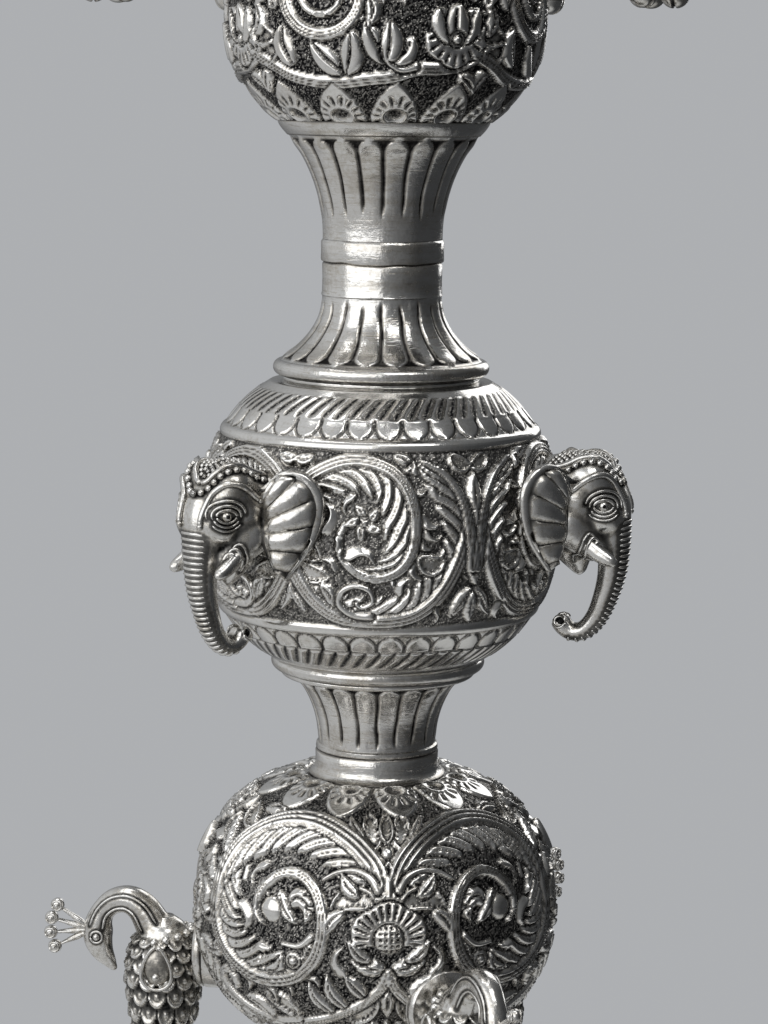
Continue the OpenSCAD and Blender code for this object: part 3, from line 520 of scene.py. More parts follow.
def bulb_sheet(line, r, x0, repeats, cols, rows):
    """A sheet for one repeat of a bulb's ornament, the places up its side and the turns all the way round"""
    top = line(0.0)[4]
    y = np.linspace(-top, top, rows)
    width = math.tau * r / repeats
    turn = (x0 + width / cols * (np.arange(repeats * cols) + 0.5)) / r
    return Sheet(x0, width, cols, y), y, turn


def bulb_pieces(name, slices, y, turn, h, line, mid, ink=0.0, age=1.0):
    """Cuts the raised sheet into bands at the given heights, each closed round the bulb

    Ink is extra tarnish in cut lines, and age a share of the tarnish in the hollows.
    """
    dark = wrapped(np.maximum(tarnish_of(h) * age, ink))
    radius, z, out, up, _ = line(y)
    points = raised(radius, z, out, up, turn, h - SINK)
    points[..., 2] += mid
    edges = [0] + [int(np.argmin(np.abs(y - cut))) for cut in slices[1]] + [len(y) - 1]
    for part, a, b in zip(slices[0], edges, edges[1:]):
        mesh = bent_grid(points[a:b + 1], dark[a:b + 1], True)
        add_piece(f"{name}_{part}", mesh, "chased_silver", [name])


def across(turn, count, shift=0.0):
    """Place in each of count repeats round the bulb, from -1 to 1"""
    return 2 * np.mod(turn / math.tau * count + shift, 1) - 1


def petal_row(turn, y, count, base, tip, r, shift, point=2.0):
    """Pointed petals from a seat at base to points at tip, each with a sunk eye and a hatched fan"""
    a = across(turn, count, shift)[None, :]
    b = ((y - base) / (tip - base))[:, None]
    half = math.pi * r / count
    rise = abs(tip - base)
    edge = unit(1 - unit(b) ** point) ** (1.3 / point) * 0.98
    q = np.where((b > -0.2) & (b < 1), np.abs(a) / np.maximum(edge, 0.02), 9)
    inside = unit((1 - q) * half * np.maximum(edge, 0.1) / 1.2) ** 0.5
    x, up = a * half, (b - 0.22) * rise
    d = np.hypot(x, up * 1.1)
    fan = np.cos(np.arctan2(x, up) * 14) * peak(d, 0.4 * rise, 0.11 * rise, 4)
    eye = peak(d, 0, 0.16 * rise, 4)
    rim = peak(d, 0.24 * rise, 0.045 * rise)
    return inside * np.clip(1.55 - 0.45 * unit(-fan) * 1.6 - 1.5 * eye + 0.45 * rim, 0.05, 3)


def seat_petals(h, turn, y, count, base, tip, plain, *shape):
    """Lays a row of petals round both seats of a bulb, with plain metal beyond them"""
    for side in (1, -1):
        petals = petal_row(turn, y, count, side * base, side * tip, *shape)
        h = np.where(petals > 0.02, np.maximum(petals, h * (petals < 0.3)), h)
        h = np.where(side * y[:, None] > plain, SINK, h)
    return h


def strokes(form, taper):
    """A maker of rows for Sheet.stroke: half width, height, then x and y of each point"""
    return lambda width, height, *xy: (form, taper, width, height, list(zip(xy[::2], xy[1::2])))


even_reeds, reeds, cord = strokes("reeds", "even"), strokes("reeds", "tail"), strokes("cord", "tail")
pod, rim, vein = strokes("cord", "leaf"), strokes("rim", "leaf"), strokes("vein", "leaf")
fold_left, fold_right = strokes("fold left", "leaf"), strokes("fold right", "leaf")

# Elephant bulb: scroll frieze between two beads, scallops and slanted hatching above and below
FRIEZE = [
    even_reeds(2.7, 2.0, -38, -9, -33, -18, -27, -25.5, -19, -31, -9, -33, 4, -33, 14, -31, 22, -26, 28.5, -18,
               33.5, -8, 37, 2, 41, 13),
    reeds(3.0, 2.1, -37.5, 6, -36, 17, -30, 26.5, -20, 32.3, -10, 34.2, 0, 32.3, 8, 27.5, 13, 19, 15, 8, 13.5, -3,
          8.5, -10.5, 0, -14, -8, -12.3, -14, -7, -16.5, 0, -14, 7, -8, 10),
    reeds(2.5, 2.0, 40.5, -12, 39, 0, 37.5, 10, 34, 20, 28, 28, 18, 34),
    cord(1.7, 1.8, -2, -31, -11, -30, -16.5, -25.5, -15.5, -20, -10, -17.2, -4, -19, -2.5, -24, -7, -26.5, -10, -24),
    rim(3.6, 1.7, -33, 3, -29, -3, -24, -7),
    rim(3.3, 1.7, -34, -9, -28, -13, -20, -14),
    vein(2.6, 1.7, -34, 20, -31, 12, -26, 8),
    vein(2.4, 1.7, -24, -17, -20, -22, -20, -28),
    rim(3.4, 1.6, 17, -6, 22, -9, 27, -6),
    rim(2.8, 1.5, 32, 35, 36.5, 32, 41, 31),
    vein(3.0, 2.0, 41, -18, 41, -4, 41, 11),
    vein(2.6, 2.0, 41, 12, 41, 21, 41, 29),
    vein(2.5, 1.7, 40, -19, 36, -25, 31, -32),
    vein(2.3, 1.7, 41, -21, 41, -28, 41, -35),
    vein(2.2, 1.6, -37, -14, -36, -22, -32, -30),
    vein(2.4, 1.7, -38, 34, -34, 33, -29, 35),
    vein(2.4, 1.7, 6, 36, 11, 34, 16, 28),
]


def scallop_row(turn, yy, low, high, shift, up):
    """Round-ended tongues with a cut line round each: their height, and the line"""
    a = across(turn, 34, shift)[None, :]
    b = (yy - low) / (high - low)
    b = b if up else 1 - b
    wide = 0.95 * unit(1 - (1 - unit(b / 0.8)) ** 2.2) ** 0.5
    q = np.abs(a) / np.maximum(wide, 0.04)
    edge = unit(1 - np.abs(np.abs(a) - wide) / 0.13) * ((b > 0.02) & (b < 1))
    shelf = step_up(b, 0.92, 1.0) * 0.15
    tongue = SINK + 0.4 * unit(1 - q * q) + shelf - 0.95 * edge ** 0.7
    return np.where((b > 0) & (b <= 1), tongue, 0), edge


def slant_row(x, yy, r, low, high, bow):
    """A plain border cut with slanted grooves: its height, and the grooves"""
    b = (yy - low) / (high - low)
    inside = (b > 0) & (b < 1)
    a = across((x - 9.0 * unit(b) ** bow) / r, 62)
    ends = unit(np.minimum(b, 1 - b) / 0.2) ** 0.5
    groove = peak(np.abs(a), 1, 0.42 * ends + 0.01) * inside
    plain = step_up(np.abs(yy), 51.0, 52.0) * (1.0 + 0.3 * unit(1 - a * a) * inside)
    return plain - 1.25 * groove, groove


def build_elephant_bulb():
    r = ELEPHANT_BULB_R
    line = bulb_line(r, 117.6, 47, 2.4, 38)
    sheet, y, turn = bulb_sheet(line, r, -38, 6, 112, 240)
    outer, coil, side_stem = (row[4] for row in FRIEZE[:3])
    rows = FRIEZE + lobes(coil[5:12], 6, 1, 10)
    rows += [("plume right", "plume", 10.5, 2.0, coil[:13]), ("plume left", "plume", 8.5, 2.0, outer[1:]),
             ("short plume left", "plume", 9, 2.0, side_stem)]
    for row in stems_last(rows):
        sheet.stroke(*row)
    flower = (-6, 9)
    for k in range(5):
        a = math.radians(FIFTH * k + 20)
        away, aside = np.array([math.cos(a), math.sin(a)]), np.array([-math.sin(a), math.cos(a)])
        petal = [flower + away, flower + away * 4 + aside, flower + away * 7 + aside * 3.5]
        sheet.stroke("vein", "leaf", 1.7, 1.7, petal)
    sheet.boss(*flower, 2.2, 2.2, ring=0.55)
    sheet.fill(35, 3.6, 1.8)
    h = sheet.ring(6, True)
    x, yy = turn[None, :] * r, y[:, None]
    h = matted(h) * (np.abs(yy) < 37.4)
    ink = np.zeros_like(h)
    for up, base, scallops, shift, slants, bow in (
        (True, 40.3, (43.0, 51.8), 0.2, (52.2, 64.0), 1.3),
        (False, -38.8, (-50.6, -41.7), 0.05, (-63.4, -51.0), 0.8),
    ):
        h = np.maximum(h, 2.1 * unit(1 - ((yy - base) / 2.9) ** 2) ** 0.5)
        tongue, edge = scallop_row(turn, yy, *scallops, shift, up)
        slant, groove = slant_row(x, yy, r, *slants, bow)
        h = np.maximum(np.maximum(h, tongue), slant)
        ink = np.maximum(np.maximum(ink, edge), groove)
    bulb_pieces("elephant_bulb", (["foot", "frieze", "shoulder"], [-38.8, 40.3]), y, turn, h, line, ELEPHANT_BULB_Z,
                ink, 0.84)


# Lower bulb: a great acanthus scroll on each side of a lotus, petals round both seats
LOTUS = [
    pod(3.0, 2.5, 6, 20.5, 6, 28, 6, 37),
    rim(4.0, 1.9, 1, 18, -6, 21.5, -13, 20.5, -19, 15),
    vein(2.5, 1.8, -7, 22, -12, 26, -15, 31),
    vein(2.5, 1.8, -13, 16, -18, 12, -20, 6),
    vein(3.2, 2.0, 5, -8, -3, -6.5, -10, 0),
    vein(2.3, 1.9, -1, -4, -6, -2, -11, 4),
    even_reeds(1.9, 1.8, 6, -8, 3.5, -16, -3, -23, -12, -29, -22, -34, -34, -38),
    vein(2.7, 1.8, -3, -21, -8, -16, -12, -11),
    vein(2.5, 1.8, -11, -27, -18, -20, -20, -11),
    vein(2.5, 1.8, -17, -30, -25, -23, -28, -15),
    vein(3.0, 1.9, 6, -13, 6, -22, 6, -31),
    rim(3.6, 1.8, 1, -22, -4, -29, -11, -35),
    rim(4.6, 2.0, -1, 43, -2, 51, -5, 60),
    rim(3.4, 1.9, 6, 46, 6, 54, 6, 61),
    vein(2.4, 1.8, -6, 47, -12, 53, -16, 59),
    vein(2.6, 1.8, 6, -33, 6, -43, 6, -54),
    rim(4.2, 1.8, 2, -36, -5, -44, -9, -54),
    vein(2.6, 1.8, -9, -37, -17, -44, -20, -54),
]
SCROLL = [
    reeds(4.3, 2.5, 4.5, 19, 1, 33, -7, 42.5, -18, 49.5, -31, 54, -44, 55, -57, 52.5, -68, 46.5, -76, 37.5, -80, 26,
          -81, 13, -79, 1, -73, -8, -64, -14, -53, -17, -43, -16.5, -33, -13, -26, -6, -22.5, 3, -22, 13, -25, 22,
          -31, 28, -39, 30, -47, 27, -52.5, 20, -53, 12, -49, 7),
    cord(1.7, 1.8, 2, 24, -2, 30, -9, 33, -17, 32, -24, 28),
    vein(2.4, 1.8, -48, -12.5, -42, -11, -40, -5),
    vein(2.3, 1.7, -28, -8, -27, -2, -30, 3),
    vein(3.2, 1.9, -38, 15, -34, 20, -28.5, 17, -29, 10),
    vein(2.4, 1.8, -43, 22, -39, 14, -33, 9),
    cord(1.4, 1.6, -26, 5, -32, 0, -41, 0),
    vein(2.8, 1.9, -84, 30, -90, 38, -92, 48),
    vein(2.8, 1.9, -84, 14, -92, 20, -97, 29),
    vein(2.8, 1.9, -83, 0, -91, 3, -97, 9),
    rim(3.8, 1.8, -76, 45, -84, 50, -90, 57),
    vein(2.8, 1.9, -60, 56, -68, 57, -76, 54),
    vein(2.8, 1.9, -76, -10, -85, -12, -94, -8),
    reeds(3.0, 2.1, -34, -38, -48, -41, -62, -39, -74, -33, -80, -25, -76, -19, -69, -21, -70, -27),
    vein(2.8, 1.9, -50, -38, -56, -31, -64, -28),
    rim(3.6, 1.8, -36, -34, -42, -28, -51, -24),
    vein(2.8, 1.9, -40, -44, -50, -49, -60, -48),
    rim(3.8, 1.8, -64, -43, -74, -46, -84, -42),
    vein(2.6, 1.8, -82, -30, -90, -33, -94, -42),
    vein(2.8, 1.9, -30, -43, -33, -50, -40, -55),
    vein(2.8, 1.9, -78, -50, -86, -52, -94, -50),
]


def build_lower_bulb():
    r = 77.8
    line, width = bulb_line(r, 114, 36, 2.3, 27.5), math.tau * r / 4
    sheet, y, turn = bulb_sheet(line, r, 6 - width, 4, 172, 246)
    band = SCROLL[0][4]
    rows = SCROLL + [("plume left", "plume", 12.5, 2.2, part) for part in (band[8:18], band[:11])]
    rows += lobes(band[8:18], 9, -1, 12) + lobes(band[16:26], 8, 1, 9)
    for *stroke, points in LOTUS:
        rows.append((*stroke, points))
        rows += [(*stroke, [(mirror - x, up) for x, up in points]) for mirror in (12 - width, 12)]
    for row in stems_last(rows):
        sheet.stroke(*row)
    sheet.boss(-46.5, 13.5, 5.6, 2.4)
    sheet.boss(-35, -7, 3.8, 2.2, ring=0.55)
    for axis in (6, 6 - width):
        sheet.fan(axis, 4, 15.5, 2.1, 13)
        sheet.boss(axis, 5, 6.4, 2.6, seeds=2.4)
        sheet.boss(axis, 41.5, 3.4, 2.3)
    sheet.fill(56, 5.2, 1.9)
    h = matted(sheet.ring(4, True))
    h = seat_petals(h, turn, y, 12, 82, 58, 81.5, 44, 0.08)
    bulb_pieces("lower_bulb", (["foot", "scrolls", "shoulder"], [-48, 48]), y, turn, h, line, 291.0)


# Upper bulb: petals round the seats, a waving stem with flowers, buds and leaves
SPRAY = [
    even_reeds(2.3, 2.0, -66, -14, -62, -16, -52, -20.5, -43, -25, -32, -27.5, -20, -28, -8, -26.5, 4, -25, 14, -22,
               24, -21.5, 33, -20, 41.4, -16, 46, -13),
    fold_left(3.6, 2.3, -17, -24, -25, -18, -31, -10),
    fold_right(3.9, 2.5, -16, -24, -13, -15, -14, -5),
    cord(1.6, 1.8, 14, -20.5, 7, -22, 1, -19),
    fold_right(3.4, 2.2, 2, -19, 9, -15, 11, -8),
    fold_left(3.6, 2.4, 1, -19, -4, -12, -8, -3),
    fold_right(3.6, 2.5, 1, -19, 3, -11, 2, -2),
    fold_left(3.6, 2.4, -41, -20, -45, -12, -44, -4),
    rim(4.4, 1.9, -62, 1, -58, -7, -49, -9),
    rim(3.6, 1.9, 44, -18, 49, -16, 56, -12),
    vein(2.8, 2.0, 34, -24, 39, -27, 43, -31),
    vein(2.6, 1.9, -56, -22, -60, -27, -61, -33),
    vein(2.6, 1.9, 44, -8, 47, -2, 45, 5),
]


def build_upper_bulb():
    r = 65.8
    line, half = bulb_line(r, 85.4, 44, 2.25, 36), math.tau * r / 8
    sheet, y, turn = bulb_sheet(line, r, -58, 4, 144, 170)
    top = y[-1]
    for *stroke, points in stems_last(SPRAY):
        sheet.stroke(*stroke, points)
        for shift in (half, -half):
            sheet.stroke(*stroke, [(x + shift, -up) for x, up in points])
    coil = [(19 - 0.022 * a, math.radians(170 + a)) for a in range(0, 560, 20)]
    sheet.stroke("reeds", "tail", 2.6, 2.2, [(-25 + d * math.cos(a), 9 + d * math.sin(a)) for d, a in coil])
    sheet.boss(-25, 9, 3.6, 2.3, ring=0.5)
    sheet.fan(30, -7, 13, 2.3, 9, -1)
    for form, x in (("fold left", -8.5), ("fold right", 8.5), ("fold right", 0)):
        sheet.stroke(form, "leaf", 3.9, 2.3, [(30 + 0.2 * x, -10), (30 + 0.7 * x, -3), (30 + x, 5 - 0.2 * abs(x))])
    sheet.boss(30, -9.5, 3.4, 2.5, ring=0.6)
    h = matted(sheet.ring(4, False))
    h = seat_petals(h, turn, y, 14, top - 8, top - 31, top - 8.6, 54, 0.3, 1.6)
    bulb_pieces("upper_bulb", (["lower_half", "upper_half"], [0.0]), y, turn, h, line, 670.7, age=1.12)


# Fluted necks

def build_horn(name, low, height, mouth, up, plain=0.03):
    """A neck of twenty broad tongues with chased lines between them and domed ends at its mouth"""
    tongues = 20
    cols, rows = tongues * 16, 54
    t = np.linspace(0, 1, rows + 1)[:, None]
    turn = math.tau * np.arange(cols) / cols
    wander = 0.012 * np.sin(5 * turn + 9 * t + low) + 0.008 * np.sin(11 * turn - 14 * t + 2 * low)
    a = across(turn[None, :] + wander * (1 - t), tongues)
    domed = unit(1 - (unit(t - 0.86) / 0.115) ** 2) ** 0.5
    wide = np.where(t > 0.86, domed, 1.0) * 0.97
    q = np.abs(a) / np.maximum(wide, 0.03)
    start = plain + 0.035 * np.sin(2.4 * np.rint(turn / math.tau * tongues) + low)
    fade = step_up(t, start, start + 0.14)
    line = peak(np.abs(a), wide, 0.045 + 0.07 * fade) * fade * (t < 0.98)
    gap = (q > 1) * step_up(t, 0.86, 0.92) * (t < 0.98)
    crown = 0.35 * fade + 0.55 * peak(t, 0.905, 0.06)
    h = crown * unit(1 - q * q) - 0.85 * np.maximum(line, gap) - 0.15
    lip = step_up(t, 0.975, 0.99)
    h = h * (1 - lip) + lip * 0.1
    dark = np.maximum(line, 0.9 * gap) * (1 - lip) + 0 * a
    radius = NECK_R + (mouth - NECK_R) * t ** 2.2 + h
    z = low + height * (t if up else 1 - t) + 0 * a
    points = around(wrapped(radius), np.append(turn, math.tau), wrapped(z))
    dark = wrapped(dark)
    if not up:
        points, dark = points[::-1], dark[::-1]
    add_piece(f"{name}_tongues", bent_grid(points, dark, True), "plain_silver", [name])


# Turned rings and sleeves

def build_ring(name, low, r, h):
    roll = 0.36 * h
    outline = [(BORE, low), (r - 0.62 * h, low), (r - 0.62 * h + 0.8, low + 0.05 * h)]
    outline += arc(r - 0.62 * h, low + 0.16 * h, 0.17 * h, -70, 70, 7)
    outline += [(r - 0.55 * h, low + 0.3 * h)]
    outline += arc(r - roll, low + 0.64 * h, roll, -78, 84, 15)
    outline += [(r - roll - 0.4, low + h), (BORE, low + h)]
    dark = lambda rr, z: np.clip(0.9 - np.abs(z - low - 0.3 * h) / (0.07 * h), 0, 0.8) * (rr > r - h)
    add_piece(f"{name}_turning", spun(outline, 160, dark), "plain_silver", [name], crease=50)


def build_band(name, low, r, h, wide_up):
    """A soft plain band from a bulb's seat down to a narrower neck"""
    side = [(r + 4.2 * (1 - (1 - t) ** 1.5), t) for t in np.linspace(0, 1, 9)]
    outline = [(BORE, low)] + [(x, low + h * t) for x, t in side] + [(BORE, low + h)]
    if not wide_up:
        outline = [(x, 2 * low + h - z) for x, z in outline][::-1]
    dark = lambda rr, z: np.clip(np.abs(z - low - 0.5 * h) / (0.5 * h) * 3 - 2.3, 0, 0.6)
    add_piece(f"{name}_turning", spun(outline, 160, dark), "plain_silver", [name], crease=50)


def build_coupling(name, low, h):
    band = low + 0.6 * h
    outline = [(BORE, low), (25.4, low), (25.8, low + 0.6), (25.5, low + 1.4), (25.35, low + 0.3 * h),
               (25.5, band - 1), (24.9, band - 0.2), (25.9, band + 0.4), (26.1, band + 1.2), (26.0, low + 0.8 * h),
               (26.1, low + h - 1.4), (25.7, low + h - 0.5), (25.2, low + h), (BORE, low + h)]
    dark = lambda r, z: np.clip(1 - np.abs(z - band + 0.2) / 0.6, 0, 0.6) * (r > 20)
    mesh = spun(outline, 128, dark)
    at = points_of(mesh)
    turn = np.arctan2(at[:, 0], at[:, 1])
    uneven = 0.28 * np.sin(3 * turn + low) + 0.16 * np.sin(7 * turn) + 0.1 * np.sin(13 * turn + 2)
    inner = (at[:, 2] > (low + 1) * MM) & (at[:, 2] < (low + h - 1) * MM)
    at[:, 2] += uneven * inner * MM
    set_points(mesh, at)
    add_piece(f"{name}_tube", mesh, "plain_silver", [name], crease=40)


def build_turned():
    for row in (("pedestal_ring", 102, 46, 9), ("cup_ring", 228, 37, 6), ("collar_ring", 392, 46, 9),
                ("neck_ring", 518.6, 46, 9)):
        build_ring(*row)
    build_band("upper_ring", 622, 40.6, 6, True)
    build_band("crown_ring", 713.4, 40.6, 6, False)
    build_coupling("pedestal_coupling", 161, 24)
    build_coupling("neck_coupling", 554.6, 24)
    foot = [(BORE, 348.1), (29.4, 348.1)] + [(26.5 + 3 * (1 - k / 7) ** 4, 348.7 + 5.9 * k / 7) for k in range(8)]
    foot += [(26.6, 358), (25.9, 359), (26.4, 359.8), (26.2, 361.4), (25.5, 362), (BORE, 362)]
    dark = lambda r, z: np.clip(1 - np.abs(z - 359) / 0.6, 0, 0.9) + np.clip(1 - (z - 348) / 1.2, 0, 0.8)
    add_piece("lower_foot_turning", spun(foot, 128, dark), "plain_silver", ["lower_foot"], crease=40)


# Cast pieces are modelled in millimetres about their own root, then set on the lamp

def limb_points(rows, turn, thicker=0.0, thinner=0.0):
    """Rings along a limb in the XZ plane: each row holds x, z and the half widths in the plane and across"""
    heading = headings(rows[:, :2])
    a, b = (rows[:, k:k + 1] + thicker - thinner for k in (2, 3))
    a, b = a * np.cos(turn), b * np.sin(turn)
    return np.stack([rows[:, :1] - a * heading[:, 1:], b, rows[:, 1:2] + a * heading[:, :1]], -1)


def limb(rows, sides=28, per=6):
    points = limb_points(smooth_path(rows, per), once_round(sides + 1))
    return capped(bent_grid(points, np.zeros(points.shape[:2]), True, 1.0))


def capped(mesh):
    with bench(mesh) as bm:
        bmesh.ops.holes_fill(bm, edges=[e for e in bm.edges if e.is_boundary], sides=0)
        bmesh.ops.recalc_face_normals(bm, faces=bm.faces)
    return mesh


def ball(x, y, z, r, stretch=(1, 1, 1), sides=14, dark=0.0):
    bm = bmesh.new()
    size = Matrix.Diagonal((*[r * k for k in stretch], 1))
    bmesh.ops.create_uvsphere(bm, u_segments=sides, v_segments=max(sides // 2, 5), radius=1,
                              matrix=Matrix.Translation((x, y, z)) @ size)
    mesh = to_mesh(bm)
    set_tarnish(mesh, np.full(len(mesh.vertices), dark))
    return mesh


def chain_of_balls(a, b):
    """Five balls from a to b, each given as x, y, z and radius"""
    a, b = np.array(a), np.array(b)
    return [ball(*(a + (b - a) * k / 4)) for k in range(5)]


def joined(meshes):
    bm = bmesh.new()
    for mesh in meshes:
        bm.from_mesh(mesh)
        bpy.data.meshes.remove(mesh)
    return to_mesh(bm)


def wire(points, r, sides=7, ends=0.06):
    """A round wire along points, thinned at both ends"""
    p = np.array(points, float)
    along = headings(p)
    side = np.cross(along, (0.31, 0.17, 0.93))
    side /= np.linalg.norm(side, axis=1)[:, None]
    over = np.cross(along, side)
    turn = once_round(sides + 1)[None, :, None]
    s = np.linspace(0, 1, len(p))
    thick = (r * np.clip(np.minimum(s, 1 - s) / ends, 0.08, 1) ** 0.5)[:, None, None]
    rings = p[:, None] + thick * (side[:, None] * np.cos(turn) + over[:, None] * np.sin(turn))
    return capped(bent_grid(rings, np.zeros(rings.shape[:2]), True, 1.0))


def relaxed(points, edges, times):
    """Moves each point half way to the middle of its neighbours, a number of times"""
    count = np.bincount(edges.ravel(), minlength=len(points))[:, None]
    for _ in range(times):
        total = np.stack([
            np.bincount(edges[:, 0], points[edges[:, 1], k], len(points))
            + np.bincount(edges[:, 1], points[edges[:, 0], k], len(points)) for k in range(3)
        ], -1)
        points = points + 0.5 * (total / count - points)
    return points


def edges_of(mesh):
    flat = np.empty(len(mesh.edges) * 2, np.int32)
    mesh.edges.foreach_get("vertices", flat)
    return flat.reshape(-1, 2)


def normals_of(mesh):
    flat = np.empty(len(mesh.vertices) * 3, np.float32)
    mesh.vertex_normals.foreach_get("vector", flat)
    return flat.reshape(-1, 3).astype(float)


def fused(meshes, voxel, times):
    """Melts overlapping shapes into one skin and smooths it"""
    lump = bpy.data.objects.new("lump", joined(meshes))
    bpy.context.scene.collection.objects.link(lump)
    melt = lump.modifiers.new("melt", "REMESH")
    melt.mode = "VOXEL"
    melt.voxel_size = voxel
    skin = bpy.data.meshes.new_from_object(lump.evaluated_get(bpy.context.evaluated_depsgraph_get()))
    bpy.data.objects.remove(lump)
    set_points(skin, relaxed(points_of(skin), edges_of(skin), times))
    return skin


def age_hollows(mesh, gain, floor):
    """Tarnish where the skin is hollow"""
    points, edges = points_of(mesh), edges_of(mesh)
    hollow = ((relaxed(points, edges, 10) - points) * normals_of(mesh)).sum(1)
    set_tarnish(mesh, unit(floor + hollow * gain))


def darken_near(mesh, spots, reach, amount):
    """Tarnish left on the skin round the beads and lines laid on it"""
    tree = KDTree(len(spots))
    for k, spot in enumerate(spots):
        tree.insert(spot, k)
    tree.balance()
    points = points_of(mesh)
    away = np.array([tree.find(point)[2] for point in points])
    values = np.zeros(len(points), np.float32)
    mesh.attributes["tarnish"].data.foreach_get("value", values)
    set_tarnish(mesh, np.maximum(values, amount * unit((reach - away) / (0.45 * reach))))


def set_on_lamp(mesh, azimuth, out, up):
    """A copy at an azimuth (0 faces the camera, more goes to the right), a radius and a height"""
    copy = mesh.copy()
    turn = Matrix.Rotation(math.radians(azimuth - 90), 4, "Z")
    copy.transform(turn @ Matrix.Scale(MM, 4) @ Matrix.Translation((out, 0, up)))
    return copy


class Skin:
    """The surface of a casting, for laying beads and lines on it"""

    def __init__(self, mesh, centre):
        bm = bmesh.new()
        bm.from_mesh(mesh)
        self.tree = BVHTree.FromBMesh(bm)
        bm.free()
        self.centre = Vector(centre)

    def at(self, azimuth, height, lift=0.0):
        a, e = math.radians(azimuth), math.radians(height)
        way = Vector((math.cos(a) * math.cos(e), math.sin(a) * math.cos(e), math.sin(e)))
        spot, normal, _, _ = self.tree.ray_cast(self.centre + way * 80, -way)
        return spot + normal * lift, normal

    def path(self, places, lift):
        return [self.at(a, e, lift)[0] for a, e in smooth_path(places, 8)]

    def near(self, point, normal, lift):
        spot, face, _, _ = self.tree.ray_cast(point + normal * 9, -normal)
        return (spot + face * lift) if spot else point


def evenly(points, gap):
    """Points a gap apart along a line in space"""
    p = np.array(points, float)
    run = np.concatenate([[0], np.cumsum(np.linalg.norm(np.diff(p, axis=0), axis=1))])
    places = np.linspace(0, run[-1], max(int(run[-1] / gap), 1) + 1)
    return np.stack([np.interp(places, run, p[:, k]) for k in range(3)], -1)


def beads(points, gap, r, sides):
    return [ball(*spot, r, sides=sides) for spot in evenly(points, gap)]


TRUNK = [(21, 20, 8, 8.5), (23.5, 10, 9.8, 10.3), (25.5, 0, 8.2, 9), (26.4, -10, 6.8, 7.6), (25.8, -19.5, 6, 6.6),
         (23.4, -29, 5.3, 5.8), (20, -37.5, 4.7, 5.1), (15.4, -43.2, 4.2, 4.6), (10.4, -45, 3.9, 4.5),
         (6.2, -43, 4.1, 5.1), (3.8, -39.2, 4.5, 5.7)]
EAR_RIM = [(6, 19, 22), (3.5, 25, 28), (-2, 31.5, 27.5), (-6.2, 36.3, 20), (-6.5, 36, 10), (-4.5, 33, 0),
           (-1, 28.5, -8), (2.5, 24.5, -14.5)]
EAR_ROOT = [(7, 17, 18), (8.5, 17.5, 10), (9, 18, 1), (4.5, 22.5, -12)]
TUSK = [(16, -4, 3.8, 3.8), (21, -7.6, 3.7, 3.7), (25.4, -10.2, 3.3, 3.3), (28.8, -11.8, 2.5, 2.5),
        (30.4, -12.3, 1.4, 1.4), (31, -12.5, 0.3, 0.3)]
# Lines on the forehead as degrees round and up from the head's middle
BROW = [(76, 24), (60, 32), (45, 35), (32, 33), (21, 25), (15, 10), (13, -4)]
BEAD_LINE = [(0, 24), (8, 26), (18, 33), (33, 44), (54, 50), (80, 49), (104, 45)]
CAP_LINE = [(0, 36), (8, 38), (18, 45), (33, 54), (54, 60), (80, 59)]
# Eyelids and the folds round them: half width, half height, start, end and wire radius
LIDS = [(4.2, 2.7, 0, 180, 0.75), (4.2, 2.6, 185, 355, 0.55), (6.0, 4.6, -12, 188, 0.65),
        (7.9, 6.6, -8, 172, 0.65), (5.8, 4.3, 205, 340, 0.5), (7.4, 5.9, 215, 325, 0.45)]


def elephant_ear(side):
    along = np.linspace(0, 1, 65)
    rim, root = (
        np.stack([np.interp(along, np.linspace(0, 1, len(p)), p[:, k]) for k in range(3)], -1)
        for p in (smooth_path(EAR_RIM, 9), smooth_path(EAR_ROOT, 9))
    )
    r = np.linspace(0, 1, 25)[:, None, None]
    sheet = root[None] * (1 - r) + rim[None] * r
    r, a = r[..., 0], along[None, :]
    flute = np.abs(np.sin(math.pi * (6.2 * a ** 0.9 + 0.1))) ** 0.7
    inside = step_up(r, 0.08, 0.25) * (1 - step_up(r, 0.8, 0.9))
    roll = peak(r, 0.95, 0.05)
    bow = 3.2 * np.sin(math.pi * r) * (0.6 + 0.4 * np.sin(math.pi * a))
    out = np.array((0.86, 0.5, 0.05))
    sheet = sheet + ((2.2 * flute * inside + 1.2 * roll + bow)[..., None]) * out
    dark = unit(1.25 - 1.5 * flute) * inside
    dark = dark + 0.75 * peak(r, 0.87, 0.035) + 0.8 * (1 - step_up(r, 0.05, 0.16))
    sheet[..., 1] *= side
    mesh = bent_grid(sheet, unit(dark), False, 1.0)
    with bench(mesh) as bm:
        if side > 0:
            bmesh.ops.reverse_faces(bm, faces=bm.faces)
        bmesh.ops.solidify(bm, geom=bm.faces, thickness=1.8)
    return mesh


def head_skin():
    """Skull, cheeks, jaw and trunk melted into one skin, with sockets pressed in for the eyes"""
    skull = ((-8, 10, 19), (-1, 11, 19), (5, 12.5, 18.7), (11, 13.5, 18.5))
    lumps = [ball(x, 0, z, r, sides=28) for x, z, r in skull]
    for side in (-1, 1):
        lumps += chain_of_balls((16.5, side * 7.5, 21, 10.5), (22.5, side * 5.5, 8, 10))
        lumps += chain_of_balls((9, side * 10, 3, 10), (19, side * 8.8, -7, 6))
    lumps += chain_of_balls((9, 0, -6, 10), (12, 0, -17, 3.6))
    lumps.append(limb(TRUNK))
    skin = fused(lumps, 0.85, 12)
    points = points_of(skin)
    for side in (-1, 1):
        socket = np.linalg.norm((points - (24, side * 13.5, 11)) * (1, 1, 1.25), axis=1)
        points[:, 1] -= side * 1.6 * peak(socket, 0, 6.0)
        points[:, 0] -= 0.8 * peak(socket, 0, 6.0)
    set_points(skin, points)
    age_hollows(skin, 3.0, 0.22)
    return skin


